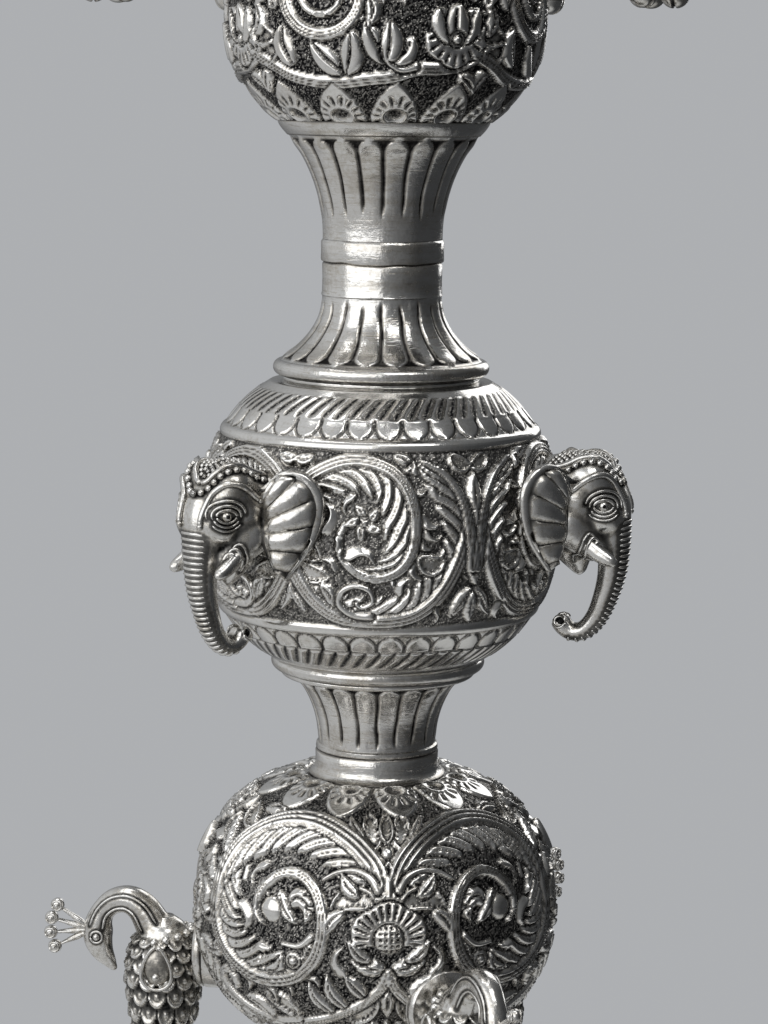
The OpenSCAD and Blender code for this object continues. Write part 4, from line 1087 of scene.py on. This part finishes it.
def eye_work(face, side):
    """An eye with its lids and folds, and the points of their lines"""
    eye, normal = face.at(side * 36, 6)
    ahead = Vector((0.55, side * -0.83, 0))
    ahead = (ahead - normal * ahead.dot(normal)).normalized()
    up = normal.cross(ahead)
    up = up if up.z > 0 else -up
    made = [ball(*(eye - normal * 0.5), 2.3, sides=16), ball(*(eye + normal * 1.5), 0.8, sides=10, dark=0.95)]
    lines = []
    for wide, tall, start, end, r in LIDS:
        lid = [face.near(eye + ahead * wide * math.cos(turn) + up * tall * math.sin(turn), normal, 0.2)
               for turn in np.radians(np.linspace(start, end, 25))]
        made.append(wire(lid, r))
        lines += lid
    return made, lines


def forehead_work(face, side):
    """Brow, bead line and a cap of grains on one side, with the points of the lines and of the grains"""
    def laid(places, lift, higher=0):
        return face.path([(side * a, min(e + higher, 88)) for a, e in places], lift)

    brow, grains = laid(BROW, 0.4), laid(BEAD_LINE, 0.5)
    fold = laid(CAP_LINE + [(108, 54)], 0.3)
    made = [wire(brow, 1.35)] + beads(brow, 1.7, 1.35, 6) + beads(grains, 3.4, 1.5, 10) + [wire(fold, 1.3)]
    for higher in (7, 13, 19, 25):
        row = laid(CAP_LINE + [(118, 52)], 0.2, higher)
        made += beads(row, 2.3, 1.1, 6)
        grains = grains + row
    return made, brow + fold, grains


def mouth_work(face, side):
    """A tusk and the folds of the lip round it, and the points of their lines"""
    tusk = limb(TUSK, 18)
    tusk.transform(Matrix.Translation((0, side * 9.2, 0)) @ Matrix.Rotation(side * math.radians(9), 4, "Z"))
    made, lines = [tusk], []
    cheek = Vector((0.55, side * 0.8, -0.15)).normalized()
    for out, r in ((0, 1.0), (2.2, 0.75), (4.2, 0.6)):
        lip = [(20.5 - out, side * (10.2 + (4.4 + out * 0.6) * math.cos(t)), -8.0 + (4.4 + out) * math.sin(t))
               for t in np.linspace(-0.9, 2.9, 22)]
        lip = [face.near(Vector(spot), cheek, 0.25) for spot in lip]
        made.append(wire(lip, r))
        lines += lip
    return made, lines


def trunk_folds():
    """Ridges across the front of the trunk, and their points"""
    trunk = smooth_path(TRUNK, 8)
    run = run_of(trunk)
    made, points = [], []
    for place in np.arange(18, run[-1] - 7, 2.2):
        x, z, a, b = (np.interp(place, run, trunk[:, k]) for k in range(4))
        ahead = np.array([np.interp(place + 0.5, run, trunk[:, k]) for k in (0, 1)]) - (x, z)
        ahead /= np.linalg.norm(ahead)
        ridge = []
        for turn in np.radians(np.linspace(-58, 58, 13)):
            off = (a - 0.4) * math.cos(turn)
            ridge.append((x - off * ahead[1], (b - 0.4) * math.sin(turn), z + off * ahead[0]))
        made.append(wire(ridge, 0.8, 6, ends=0.2))
        points += ridge
    return made, points


def nostril(side):
    way, flat = np.array((-0.4, side * 0.82, 0.4)), np.array((0.96, side * 0.22, 0.13))
    high = np.cross(way, flat)
    hole = np.array((7.0, 0, -42.2)) + way * 4.5
    ring = [hole + way * 0.8 + flat * 2.6 * math.cos(t) + high * 2.6 * math.sin(t) for t in once_round(21)]
    # A black ball fills the hole: painted shade for the dark inside of the open nostril, with a wire ring round it
    return [ball(*hole, 2.5, (1, 0.6, 0.8), 14, dark=1.0), wire(ring, 0.8, 6, ends=0.01)]


def build_elephants():
    skin = head_skin()
    face = Skin(skin, (6, 0, 9))
    made, grains, lines = [], [], []
    for side in (-1, 1):
        eye, lids = eye_work(face, side)
        forehead, folds, dots = forehead_work(face, side)
        mouth, lips = mouth_work(face, side)
        made += eye + forehead + mouth + [elephant_ear(side)]
        lines += lids + folds + lips
        grains += dots
    ridges, creases = trunk_folds()
    for points, reach, amount in ((grains, 2.6, 0.9), (creases, 2.0, 0.6), (lines, 1.9, 0.75)):
        darken_near(skin, points, reach, amount)
    head = joined(made + ridges + [skin] + nostril(-1) + nostril(1))
    for name, azimuth in (("elephant_right", 75), ("elephant_rear", 195), ("elephant_left", 315)):
        add_piece(name + "_head", set_on_lamp(head, azimuth, ELEPHANT_BULB_R, ELEPHANT_BULB_Z), "cast_silver", [name])


PEACOCK_BODY = [(14, 14, 5, 6), (14, 9, 11, 11), (14.5, 0, 15.5, 14.5), (15, -12, 17, 16), (15, -27, 15.5, 15),
                (16, -42, 12.5, 13.5), (17.5, -56, 9, 11), (19, -66, 5, 7.5), (20, -71, 2, 4)]
PEACOCK_NECK = [(17, 2, 9, 9), (20, 10, 8, 8), (24.5, 17, 7, 7), (30.5, 20.5, 6.2, 6.2), (37, 19.5, 5.6, 5.6),
                (42, 15, 5.2, 5.2), (44.4, 8.5, 6.2, 5.9), (44.4, 2, 6.4, 6), (42.4, -3.6, 5, 4.6),
                (39.4, -8, 3.2, 2.8), (36.6, -12, 1.2, 1)]
PEACOCK_SEAT = 79.0, 265  # radius and height of the stub's face


def scale_feathers(a, v):
    """Overlapping round-ended feathers, each with a rim and a dot; a turns, v counts rows down the body"""
    best = np.zeros(np.broadcast(a, v).shape)
    for k in range(-2, int(v.max()) + 2):
        x = 2 * np.mod(a + 0.5 * (k % 2), 1) - 1
        b = (v - k) / 1.75
        edge = 0.45 + 0.55 * np.sqrt(unit(1 - x * x))
        inside = (b > 0) & (b < edge)
        room = edge - b
        h = 0.25 + 0.85 * b + 0.95 * peak(room, 0.13, 0.085)
        h += 0.7 * np.sqrt(unit(1 - (x / 0.26) ** 2 - ((b - 0.58) / 0.12) ** 2))
        h *= unit(room / 0.07) ** 0.6
        best = np.maximum(best, np.where(inside, h, 0))
    return best


def peacock_body():
    """Body and folded tail, clad in feathers"""
    rows, turn = smooth_path(PEACOCK_BODY, 17), once_round(145)[None, :]
    run = run_of(rows)[:, None]
    h = scale_feathers(turn / math.tau * 12, 11.5 * (1 - np.exp((9 - run) / 56)))
    h = h * step_up(run, 7, 11) * (1 - step_up(run, 80, 86))
    dark = unit((1.05 - h) * 1.5) * step_up(run, 7, 11)
    return capped(bent_grid(limb_points(rows, turn, 1.25 * h, 1.4), dark, True, 1.0))


def peacock_side(side):
    """Lines on the neck, the eye and the wing's drop on one side, and the points of the neck's lines"""
    made, lines = [], []
    path = smooth_path(PEACOCK_NECK[1:7], 8)
    for turn in np.radians((62, 118)):
        lines.append(limb_points(path, np.array([side * turn]))[:, 0])
        made.append(wire(lines[-1], 0.6))
    ring = [(44.0 + 2.6 * math.cos(t), side * 6.1, 4.4 + 2.6 * math.sin(t)) for t in once_round(25)]
    lines.append(np.array(ring))
    drop = [(15 + 6.4 * math.sin(t) * (1 - 0.35 * math.cos(t)), side * 16.3, -5.5 + 9.6 * math.cos(t))
            for t in once_round(41)]
    made += [ball(44.0, side * 6.1, 4.4, 1.6, sides=12), wire(ring, 0.55, ends=0.01),
             ball(15, side * 14.2, -5.5, 1, (6.4, 3.6, 9.0), 24, dark=0.3), wire(drop, 0.9, ends=0.01),
             ball(15, side * 17.6, -9.0, 1.9, sides=12)]
    return made, lines


def peacock_crest():
    """Four blades in a fan, each with a ringed bead at its end"""
    made, root = [], np.array((47.0, 0, 6))
    for lean in np.radians(np.linspace(34, -26, 4)):
        away = np.array((math.cos(lean), 0, math.sin(lean)))
        blade = [root + away * k for k in np.linspace(-1, 16.5, 14)]
        bead = root + 19 * away
        made += [wire(blade, 1.5, 10, ends=0.5), ball(*bead, 3.1, (1, 0.8, 1), 16)]
        for side in (-1, 1):
            ring = [bead + (2.1 * math.cos(t), side * 2.0, 2.1 * math.sin(t)) for t in once_round(19)]
            made += [wire([p + (0, side, 0) for p in blade[4:]], 0.6, 6), wire(ring, 0.5, 6, ends=0.01),
                     ball(*(bead + (0, side * 2.3, 0)), 1.0, sides=8)]
    return made


def build_peacocks():
    neck = fused([limb(PEACOCK_NECK, 32, 8), ball(44.4, 0, 5.5, 6.8, (1, 0.95, 1.05)), ball(16, 0, 4, 11)], 0.6, 4)
    age_hollows(neck, 2.4, 0.12)
    made, lines = [peacock_body(), neck], []
    for side in (-1, 1):
        pieces, points = peacock_side(side)
        made += pieces
        lines += points
    darken_near(neck, np.vstack(lines), 1.8, 0.8)
    for turn in once_round(15)[:-1]:
        x, y = 11.8 * math.cos(turn), 11.6 * math.sin(turn)
        made.append(ball(14.3 + x, y, 5.2 - 0.25 * x, 2.1, sides=12))
    bird = joined(made + peacock_crest())
    outline = [(3, -17), (17, -17), (17, -5), (16.2, -4.4), (16.8, -3.6), (16.8, -2.2), (15.6, -0.6),
               (13.5, -0.25), (3, -0.25)]
    stub = spun(outline, 64, lambda r, z: unit(1 - np.abs(z + 4.5) / 0.5))
    stub.transform(Matrix.Scale(1 / MM, 4))
    stub.transform(Matrix.Rotation(math.pi / 2, 4, "Y"))
    stubs = []
    for name, azimuth in (("peacock_front", 23), ("peacock_rear", 143), ("peacock_left", 263)):
        add_piece(name + "_bird", set_on_lamp(bird, azimuth, *PEACOCK_SEAT), "cast_silver", [name])
        stubs.append(set_on_lamp(stub, azimuth, *PEACOCK_SEAT))
    add_piece("peacock_stub_plugs", joined(stubs), "cast_silver", ["peacock_stubs"], crease=40)


# Base, dish, bells and finial

def along_profile(corners, pitch):
    """Evenly spaced (radius, height) points along a profile, with the distance run"""
    p = np.array(corners, float)
    run = run_of(p)
    side = np.linspace(0, run[-1], int(run[-1] / pitch) + 1)
    return np.interp(side, run, p[:, 0]), np.interp(side, run, p[:, 1]), side


def raised_turning(radius, z, turn, h, dark):
    """A turned profile with relief and tarnish"""
    step = np.hypot(np.gradient(radius), np.gradient(z))
    out, up = np.gradient(z) / step, -np.gradient(radius) / step
    h, dark = np.broadcast_arrays(h + 0 * turn, dark + 0 * turn)
    return bent_grid(raised(radius, z, out, up, turn, h), wrapped(dark), True)


def pointed_petals(turn, s, count, base, tip, shift):
    """Long petals with a rolled edge and a barbed middle leaf"""
    a, b = across(turn, count, shift)[None, :], ((s - base) / (tip - base))[:, None]
    edge = 0.97 * unit(1 - unit(b) ** 2.4) ** 0.6
    q = np.where((b > 0) & (b < 1), np.abs(a) / np.maximum(edge, 0.02), 2)
    lip = peak(q, 0.9, 0.075) * 1.5
    field = (q < 0.9) * 0.5
    inner = 0.55 * unit(1 - unit((b - 0.12) / 0.66) ** 2.0) ** 0.7 * (b > 0.12)
    p = unit(np.abs(a) / np.maximum(inner, 0.02))
    leaf = np.sqrt(1 - p * p) * 1.5 * (1 - 0.5 * peak(p, 0, 0.12) - 0.3 * barbs(p, b * 1.6))
    return np.where(q < 1.1, np.maximum(np.maximum(lip, field), leaf), 0)


def two_petal_rows(turn, s, count, base, back_tip, front_tip):
    """A front row of petals over a back row that shows between their tips"""
    back = pointed_petals(turn, s, count, base, back_tip, 0.5)
    front = pointed_petals(turn, s, count, base, front_tip, 0.0)
    return np.where(front > 0.05, front, back * 0.8)


def build_base():
    plate = [(15, 0.2)] + arc(153, 3, 2.8, -90, 0, 7) + [(155.4, 6), (154.6, 7), (155.4, 8)]
    plate += arc(153, 11, 2.8, 0, 90, 7)
    plate += [(149.5, 13.9), (149, 13.9), (146, 16.2), (5.4, 16.2), (5.4, 9.6), (15, 9.6)]
    dark = lambda r, z: np.clip(1 - np.abs(z - 7) / 1.0, 0, 0.8) * (r > 150)
    add_piece("base_plate_casting", spun(plate, 192, dark), "iron_plate", ["base_plate"], crease=40)
    dome = [(148, 14.2), (148, 28), (144, 32)]
    dome += [(144 - 96 * ((1 - math.cos(math.pi * t)) / 2) ** 0.8, 32 + 70 * t) for t in np.linspace(0.02, 1, 60)]
    dome += [(36, 102)]
    radius, z, s = along_profile(dome, 1.15)
    cols = 432
    turn = math.tau * np.arange(cols) / cols
    tall, lean = s[:, None], unit(s[:, None] / 14)
    a = across(turn[None, :] - 0.05 * lean ** 1.3, 96)
    cut = peak(np.abs(a), 1, 0.3) * ((tall > 3) & (tall < 11.5))
    h = np.where(tall < 14, SINK - SINK * cut, 0)
    for bead in (1.4, 13.0, 18.6, 21.6, 105, 119):
        h = np.maximum(h, 1.9 * np.sqrt(unit(1 - ((tall - bead) / 1.5) ** 2)))
    field = two_petal_rows(turn, s, 16, 23, 103, 88)
    a = across(turn, 48)[None, :]
    b = (tall - 106.5) / 11
    wide = 0.93 * np.sqrt(unit(1 - (1 - unit(b / 0.6)) ** 2))
    tongue = unit(1 - (np.abs(a) / np.maximum(wide, 0.01)) ** 4) * ((b > 0) & (b < 1)) * 1.2
    h = np.maximum(h, np.maximum(field, tongue) * (tall > 20))
    h = np.where((tall > 22) & (tall < 104), matted(h), h)
    h = np.where((tall > 121) | ((tall > 14) & (tall < 17.5)), SINK, h)
    mesh = raised_turning(radius, z, turn, h - SINK, tarnish_of(h))
    add_piece("base_dome_shell", mesh, "chased_silver", ["base_dome"])


def bowl_rise(r):
    """How far the dish's wall stands over its flat middle at a radius"""
    return 36 * (np.clip(r - 50, 0, None) / 75) ** 2


def lip_edge(off):
    """Radius of the dish's rim against the degrees off a lip's middle: each lip is the end of a pointed oval"""
    s = np.linspace(44.72, 18.5, 60)
    half = np.sqrt(3600 - s * s) - 40
    return np.interp(off, np.degrees(np.arctan2(half, 105.3 + s)), np.hypot(half, 105.3 + s))


def build_dish():
    """The beaten dish: a plain bowl whose rolled rim is drawn out into five wick lips"""
    off = np.concatenate([np.linspace(0, 8, 19)[:-1], np.linspace(8, 36, 12)])
    sector = np.concatenate([-off[:0:-1], off[:-1]])
    turn = np.concatenate([FIRST_LIP + FIFTH * k + sector for k in range(5)] + [FIRST_LIP + sector[:1]])
    turn = np.radians(turn)
    away = np.append(np.tile(np.abs(sector), 5), 36)
    edge, lip = lip_edge(away), step_up(1 - away / 8.2, 0, 1)
    fork, roll_r, wall = 105, 1.9, 2  # where the lips leave the bowl, the rim's roll and the sheet
    bowl_z = lambda r: 761.4 + bowl_rise(r)
    top = [(r + 0 * turn, bowl_z(r) + 0 * turn) for r in [5.8, 20, 36] + list(np.linspace(50, fork, 16))]
    for u in np.linspace(0, 0.88, 12)[1:]:
        plain, trough = bowl_z(fork + 20 * u), bowl_z(fork) + 13.2 * u ** 2.4
        top.append((fork + (edge - fork) * u, plain + (trough - plain) * lip))
    rim_z = 796.4 - 3.4 * lip
    roll = [(edge + roll_r * math.cos(a), rim_z + roll_r * math.sin(a))
            for a in np.radians((150, 110, 70, 30, -10, -50, -90, -120))]
    under = [(r, z - wall) for r, z in reversed(top)]
    r, z = (np.array([row[k] for row in top + roll + under + top[:1]]) for k in (0, 1))
    inside = np.arange(len(r))[:, None] < len(top)
    dark = np.where(inside, 0.5 * peak(r, 24, 14) + 0.3 * lip * step_up(r, 112, 140), 0.25)
    dark[len(top):len(top) + len(roll)] = 0
    dark[len(top) - 1], dark[len(top) + len(roll)] = 0.7, 0.7
    mesh = bent_grid(around(r, turn, z), dark, True)
    with bench(mesh) as bm:
        bmesh.ops.remove_doubles(bm, verts=bm.verts, dist=1e-6)
    add_piece("oil_dish_bowl", capped(mesh), "dish_silver", ["oil_dish"])


def build_dish_work():
    """Lotus petals beaten into the dish from below, and beads along its rim between the lips"""
    bowl = [(r, 759.4 + bowl_rise(r)) for r in np.linspace(50.5, 108, 60)]
    radius, z, s = along_profile(bowl, 1.0)
    turn = math.tau * np.arange(440) / 440
    h = two_petal_rows(turn, s, 20, 1.5, 61, 52)
    end = (step_up(s, 0, 1.5) * (1 - step_up(s, s[-1] - 2.5, s[-1] - 0.5)))[:, None]
    mesh = raised_turning(radius, z, turn, h * 0.8 * end + 0.12 - 0.7 * (1 - end), tarnish_of(h + 0.25))
    add_piece("dish_petals", mesh, "dish_silver", [], finish="chased_silver")
    row, rim_r, lip_half = [], 125.4, 11.5
    for azimuth in np.arange(1.0, 360, 2):
        if abs((azimuth - FIRST_LIP + FIFTH / 2) % FIFTH - FIFTH / 2) > lip_half:
            a = math.radians(azimuth)
            row.append(ball(rim_r * math.sin(a), -rim_r * math.cos(a), 797.6, 1.7, sides=8))
    mesh = joined(row)
    mesh.transform(Matrix.Scale(MM, 4))
    add_piece("dish_rim_beads", mesh, "dish_silver", [])


def jingle_bell():
    """A round bell with a slit below, a double band round its middle and petals on its crown"""
    up = np.radians(np.linspace(-88, 88, 37))[:, None]
    height = np.degrees(up)
    turn = once_round(49)[None, :]
    lift = 0.28 * peak(height, 7, 3.2) + 0.28 * peak(height, -7, 3.2)
    petal = np.abs(np.sin(4 * turn)) ** 0.5 * step_up(height, 16, 26) * (1 - step_up(height, 62, 74))
    slit = unit(1.5 - np.abs(6.6 * np.cos(up) * np.cos(turn)) / 0.62) * (1 - step_up(height, -9, -6))
    r = 6.3 + lift + 0.3 * petal - 1.3 * slit
    out = r * np.cos(up)
    points = np.stack([out * np.cos(turn), out * np.sin(turn), r * np.sin(up) + 0 * turn], -1)
    # The sunk slit is painted black, painted shade for the dark inside of an open slit; between the crown's petals
    # and in the middle groove the dark is tarnish
    dark = np.maximum(slit, 0.5 * (1 - petal) * step_up(height, 16, 22) + 0 * turn)
    dark = np.maximum(dark, 0.8 * peak(height, 0, 3) + 0 * turn)
    return capped(bent_grid(points, dark, True, 1.0))


def wire_ring(r, thick, place, turn):
    """A closed ring of round wire, laid flat and then turned"""
    mesh = spun([(r + thick * math.cos(a), thick * math.sin(a)) for a in once_round(11)[:-1]], 36)
    mesh.transform(Matrix.Translation(place) @ turn @ Matrix.Scale(1 / MM, 4))
    return mesh


def build_bells():
    """Bunches of three bells on ring chains, drawn hanging on the axis and then set round the dish"""
    upright, across_it = Matrix.Rotation(math.pi / 2, 4, "X"), Matrix.Rotation(math.pi / 2, 4, "Y")
    eye_z, link_z, link_pitch = 779.278, 771.178, 8.9
    bell_out, bell_z, loop_z = 7.72, 681.18, 687.2
    hub = [ball(0, 0, 686.13, 3.9, (1, 1, 0.95), 20), ball(0, 0, 689.6, 1.9, (1, 1, 0.6), 14)]
    hub.append(wire_ring(2.8, 0.8, (0, 0, 693.68), upright))
    bell = jingle_bell()
    for k in range(3):
        turned = Matrix.Rotation(math.radians(120 * k), 4, "Z")
        copy = bell.copy()
        copy.transform(turned @ Matrix.Translation((bell_out, 0, bell_z)))
        hub.append(copy)
        hub.append(wire_ring(1.9, 0.55, turned @ Vector((bell_out, 0, loop_z)), Matrix.Identity(4)))
    bunch = joined(hub)
    chain = joined([wire_ring(5.5, 0.9, (0, 0, link_z - link_pitch * k), upright if k % 2 else across_it)
                    for k in range(9)])
    shank = wire(np.linspace((0, 0, 783.6), (0, 0, 792.4), 8), 1.2, 16, 0.02)
    eye = joined([wire_ring(5, 1.2, (0, 0, eye_z), upright), shank, ball(0, 0, 792, 2.6, (1, 1, 0.36), 16)])
    places = [(FIRST_EYE + FIFTH * k, EYE_R, 0) for k in range(5)]
    eyes = joined([set_on_lamp(eye, *place) for place in places])
    add_piece("dish_eye_rings", eyes, "bell_silver", ["dish_eyes"], crease=40)
    for k, place in enumerate(places, 1):
        body = f"bell_bunch_{k}"
        add_piece(f"bell_cluster_{k}", set_on_lamp(bunch, *place), "bell_silver", [f"jingle_bells_{k}"], body)
        add_piece(f"ring_chain_{k}", set_on_lamp(chain, *place), "bell_silver", [f"bell_chain_{k}"], body)


def build_finial():
    turn = math.tau * np.arange(168) / 168
    sleeve = [(14.2, 761.5), (21.8, 761.5), (22, 762), (22, 764), (20.4, 765.2)]
    sleeve += [(20 - 6.8 * math.sin(math.pi / 2 * t), 765.4 + 19 * t) for t in np.linspace(0.03, 1, 16)]
    sleeve += [(15.0, 785.2), (15.2, 785.8), (15.2, 787.0), (14.8, 787.35), (5.4, 787.35)]
    radius, z, _ = along_profile(sleeve, 0.65)
    tall = z[:, None]
    a = across(turn, 12)[None, :]
    b = (tall - 765.6) / 17.5
    edge = 0.95 * unit(1 - unit(b) ** 2.2) ** 0.6
    q = np.where((b > 0) & (b < 1), np.abs(a) / np.maximum(edge, 0.02), 2)
    leaf = unit(1 - q ** 3) * (1 - 0.45 * peak(a, 0, 0.1))
    on_side = (tall > 765.3) & (tall < 784.6)
    h = np.where(on_side, leaf - 0.7, 0.0)
    dark = np.where(on_side, unit((0.5 - leaf) * 1.7), 0.0)
    dark = np.maximum(dark, 0.8 * peak(tall, 765, 0.6))
    mesh = raised_turning(radius, z, turn, h, dark)
    add_piece("finial_sleeve_cup", mesh, "chased_silver", ["finial_sleeve"])
    low = 787.7  # the finial's seat on the sleeve
    bud = [(5.2, low), (12.9, low), (13.2, low + 0.4), (13.2, low + 5.3), (12.6, low + 5.8), (9.2, low + 5.9)]
    bud += [(8.4 + 12.6 * math.sin(math.pi * t), low + 5.76 + 40.32 * t) for t in np.linspace(0.02, 0.98, 50)]
    bud += [(11.0, low + 49.6), (11.5, low + 50.1), (11.5, low + 51.4), (11, low + 51.9), (9, low + 51.95)]
    bud += [(8.4 * (1 - t) + 5.775 * math.sin(math.pi * t), low + 51.84 + 44.16 * t)
            for t in np.linspace(0.02, 0.995, 60)]
    radius, z, _ = along_profile(bud, 0.75)
    tall = z[:, None] - low
    t = unit((tall - 5.76) / 40.32)
    gadroon = np.abs(np.cos(7 * (turn[None, :] + 0.5 * t))) ** 0.45
    body = np.sin(math.pi * t) * ((tall > 6.5) & (tall < 45.5))
    band = peak(t, 0.56, 0.07, 4) * (t > 0)
    rope = np.cos(40 * turn[None, :])
    h = body * (1.2 * gadroon - 1.0) * (1 - band) + band * (0.35 * rope - 0.2)
    dark = body * unit((0.5 - gadroon) * 2.0) * (1 - band) + band * unit(-rope) * 0.8
    u = unit((tall - 52.2) / 40)
    edge = 0.96 * unit(1 - np.mod(u * 3, 1) ** 2) ** 0.6
    shifted = np.where(np.floor(u * 3) % 2 == 1, across(turn, 8)[None, :], across(turn, 8, 0.5)[None, :])
    q = np.abs(shifted) / np.maximum(edge, 0.03)
    leaf = unit(1 - q ** 3) * (1 - 0.35 * peak(shifted, 0, 0.12))
    on_bud = (tall > 52.4) & (tall < 92)
    h = np.where(on_bud, (leaf - 0.8) * (1 - u * 0.6), h)
    dark = np.where(on_bud, unit((0.55 - leaf) * 1.7), dark)
    mesh = capped(raised_turning(radius, z, turn, h, dark))
    add_piece("finial_bud", mesh, "chased_silver", ["finial"], "finial")


# Stage, camera and light

BACKDROP = (0.42, 0.43, 0.445, 1)
ROOM_FILL = (0.34, 0.35, 0.36, 1)
SHADE = (0.05, 0.052, 0.055)


def mirrored_room(tree, way, toward, middle, lit):
    """The room that the metal mirrors: dark on one side and bright toward the other"""
    facing = node(tree, "ShaderNodeVectorMath", {0: way, 1: toward}, operation="DOT_PRODUCT").outputs["Value"]
    return ramp(tree, spread(tree, facing, 0, 1, -0.8, 0.8), (0.0, SHADE), (0.5, middle), (1.0, lit))


def build_stage():
    bm = bmesh.new()
    bmesh.ops.create_grid(bm, x_segments=4, y_segments=4, size=6)
    floor = bpy.data.objects.new("floor", to_mesh(bm))
    bpy.context.scene.collection.objects.link(floor)
    pale = bpy.data.materials.new("pale_floor")
    pale.use_nodes = True
    tree = pale.node_tree
    shader = tree.nodes["Principled BSDF"]
    place = node(tree, "ShaderNodeTexCoord").outputs["Object"]
    colour = ramp(tree, noise(tree, place, 3, 3), (0.3, (0.70, 0.70, 0.69)), (0.7, (0.74, 0.74, 0.73)))
    tree.links.new(colour, shader.inputs["Base Color"])
    shader.inputs["Roughness"].default_value = 0.7
    reach = node(tree, "ShaderNodeVectorMath", {0: place}, operation="LENGTH").outputs["Value"]
    way = node(tree, "ShaderNodeVectorMath", {0: place}, operation="NORMALIZE").outputs["Vector"]
    room = mirrored_room(tree, way, (-0.95, -0.3, 0), (0.2, 0.202, 0.206), (0.58, 0.585, 0.59))
    seen = node(tree, "ShaderNodeLightPath").outputs["Is Camera Ray"]
    away = node(tree, "ShaderNodeEmission", {"Color": mixed(tree, seen, room, BACKDROP)}).outputs["Emission"]
    far = spread(tree, reach, 0, 1, 0.3, 0.62)
    both = node(tree, "ShaderNodeMixShader", {0: far, 1: shader.outputs["BSDF"], 2: away})
    tree.links.new(both.outputs["Shader"], tree.nodes["Material Output"].inputs["Surface"])
    floor.data.materials.append(pale)


def build_light():
    world = bpy.data.worlds.new("studio")
    bpy.context.scene.world = world
    world.use_nodes = True
    tree = world.node_tree
    ray = node(tree, "ShaderNodeLightPath").outputs
    seen = sum_of(tree, ray["Is Camera Ray"], ray["Is Transmission Ray"], 1.0)
    way = node(tree, "ShaderNodeTexCoord").outputs["Generated"]
    room = mirrored_room(tree, way, (-0.9, -0.15, 0.35), (0.22, 0.225, 0.23), (0.68, 0.69, 0.7))
    glossy = mixed(tree, ray["Is Glossy Ray"], ROOM_FILL, room)
    tree.links.new(mixed(tree, seen, glossy, BACKDROP), tree.nodes["Background"].inputs["Color"])
    for name, place, aim, size, power in (
        ("key_box", (-1.1, -1.4, 1.15), (0, 0, 0.5), (2.5, 1.7), 17),
        ("front_box", (0.45, -0.9, 1.75), (0, 0, 0.5), (0.9, 0.6), 5),
        ("rim_box", (0.7, 1.5, 1.2), (0, 0, 0.5), (0.8, 1.4), 6),
        ("top_box", (-0.2, 0.1, 2.0), (0, 0, 0.4), (1.1, 1.1), 9),
    ):
        lamp = bpy.data.lights.new(name, "AREA")
        lamp.shape = "RECTANGLE"
        lamp.size, lamp.size_y = size
        lamp.energy = power
        holder = bpy.data.objects.new(name, lamp)
        holder.location = place
        holder.rotation_euler = (Vector(aim) - Vector(place)).to_track_quat("-Z", "Y").to_euler()
        bpy.context.scene.collection.objects.link(holder)


def build_camera():
    lens = bpy.data.cameras.new("camera")
    lens.sensor_width = 36
    lens.lens = 101.95
    camera = bpy.data.objects.new("camera", lens)
    pitch, roll, yaw = math.radians(8.5), math.radians(0.68), math.radians(-0.09)
    aim = Matrix.Rotation(yaw, 3, "Z") @ Matrix.Rotation(math.radians(90) - pitch, 3, "X")
    turn = aim @ Matrix.Rotation(roll, 3, "Z")
    camera.matrix_world = Matrix.Translation((0, -1.229, 0.6456)) @ turn.to_4x4()
    bpy.context.scene.collection.objects.link(camera)
    bpy.context.scene.camera = camera


bpy.context.scene.view_settings.view_transform = "Standard"
build_camera()
build_stage()
build_light()
build_elephant_bulb()
build_lower_bulb()
build_upper_bulb()
for row in (
    ("pedestal_neck", 111, 50, 42, False), ("pedestal_cup", 185, 43, 34, True), ("lower_neck", 362, 30, 36, True),
    ("lower_horn", 527.6, 27, 43, False), ("upper_horn", 578.6, 43.4, 40, True, 0.2),
    ("crown_neck", 719.4, 40, 44, True),
):
    build_horn(*row)
for build in (build_turned, build_elephants, build_peacocks, build_base, build_dish, build_dish_work, build_bells,
              build_finial):
    build()

FIXINGS = ("stud", "nut", "washer", "rod")
CASTINGS = ("elephant", "peacock_f", "peacock_r", "peacock_l")
for name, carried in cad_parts.items():
    kind = "plain_silver"
    if name == "base_plate":
        kind = "iron_plate"
    elif "bell" in name:
        kind = "bell_silver"
    elif any(word in name for word in FIXINGS):
        kind = "steel_fixings"
    elif name.startswith(CASTINGS):
        kind = "cast_silver"
    carried.data.materials.clear()
    carried.data.materials.append(FINISH_OF[kind])
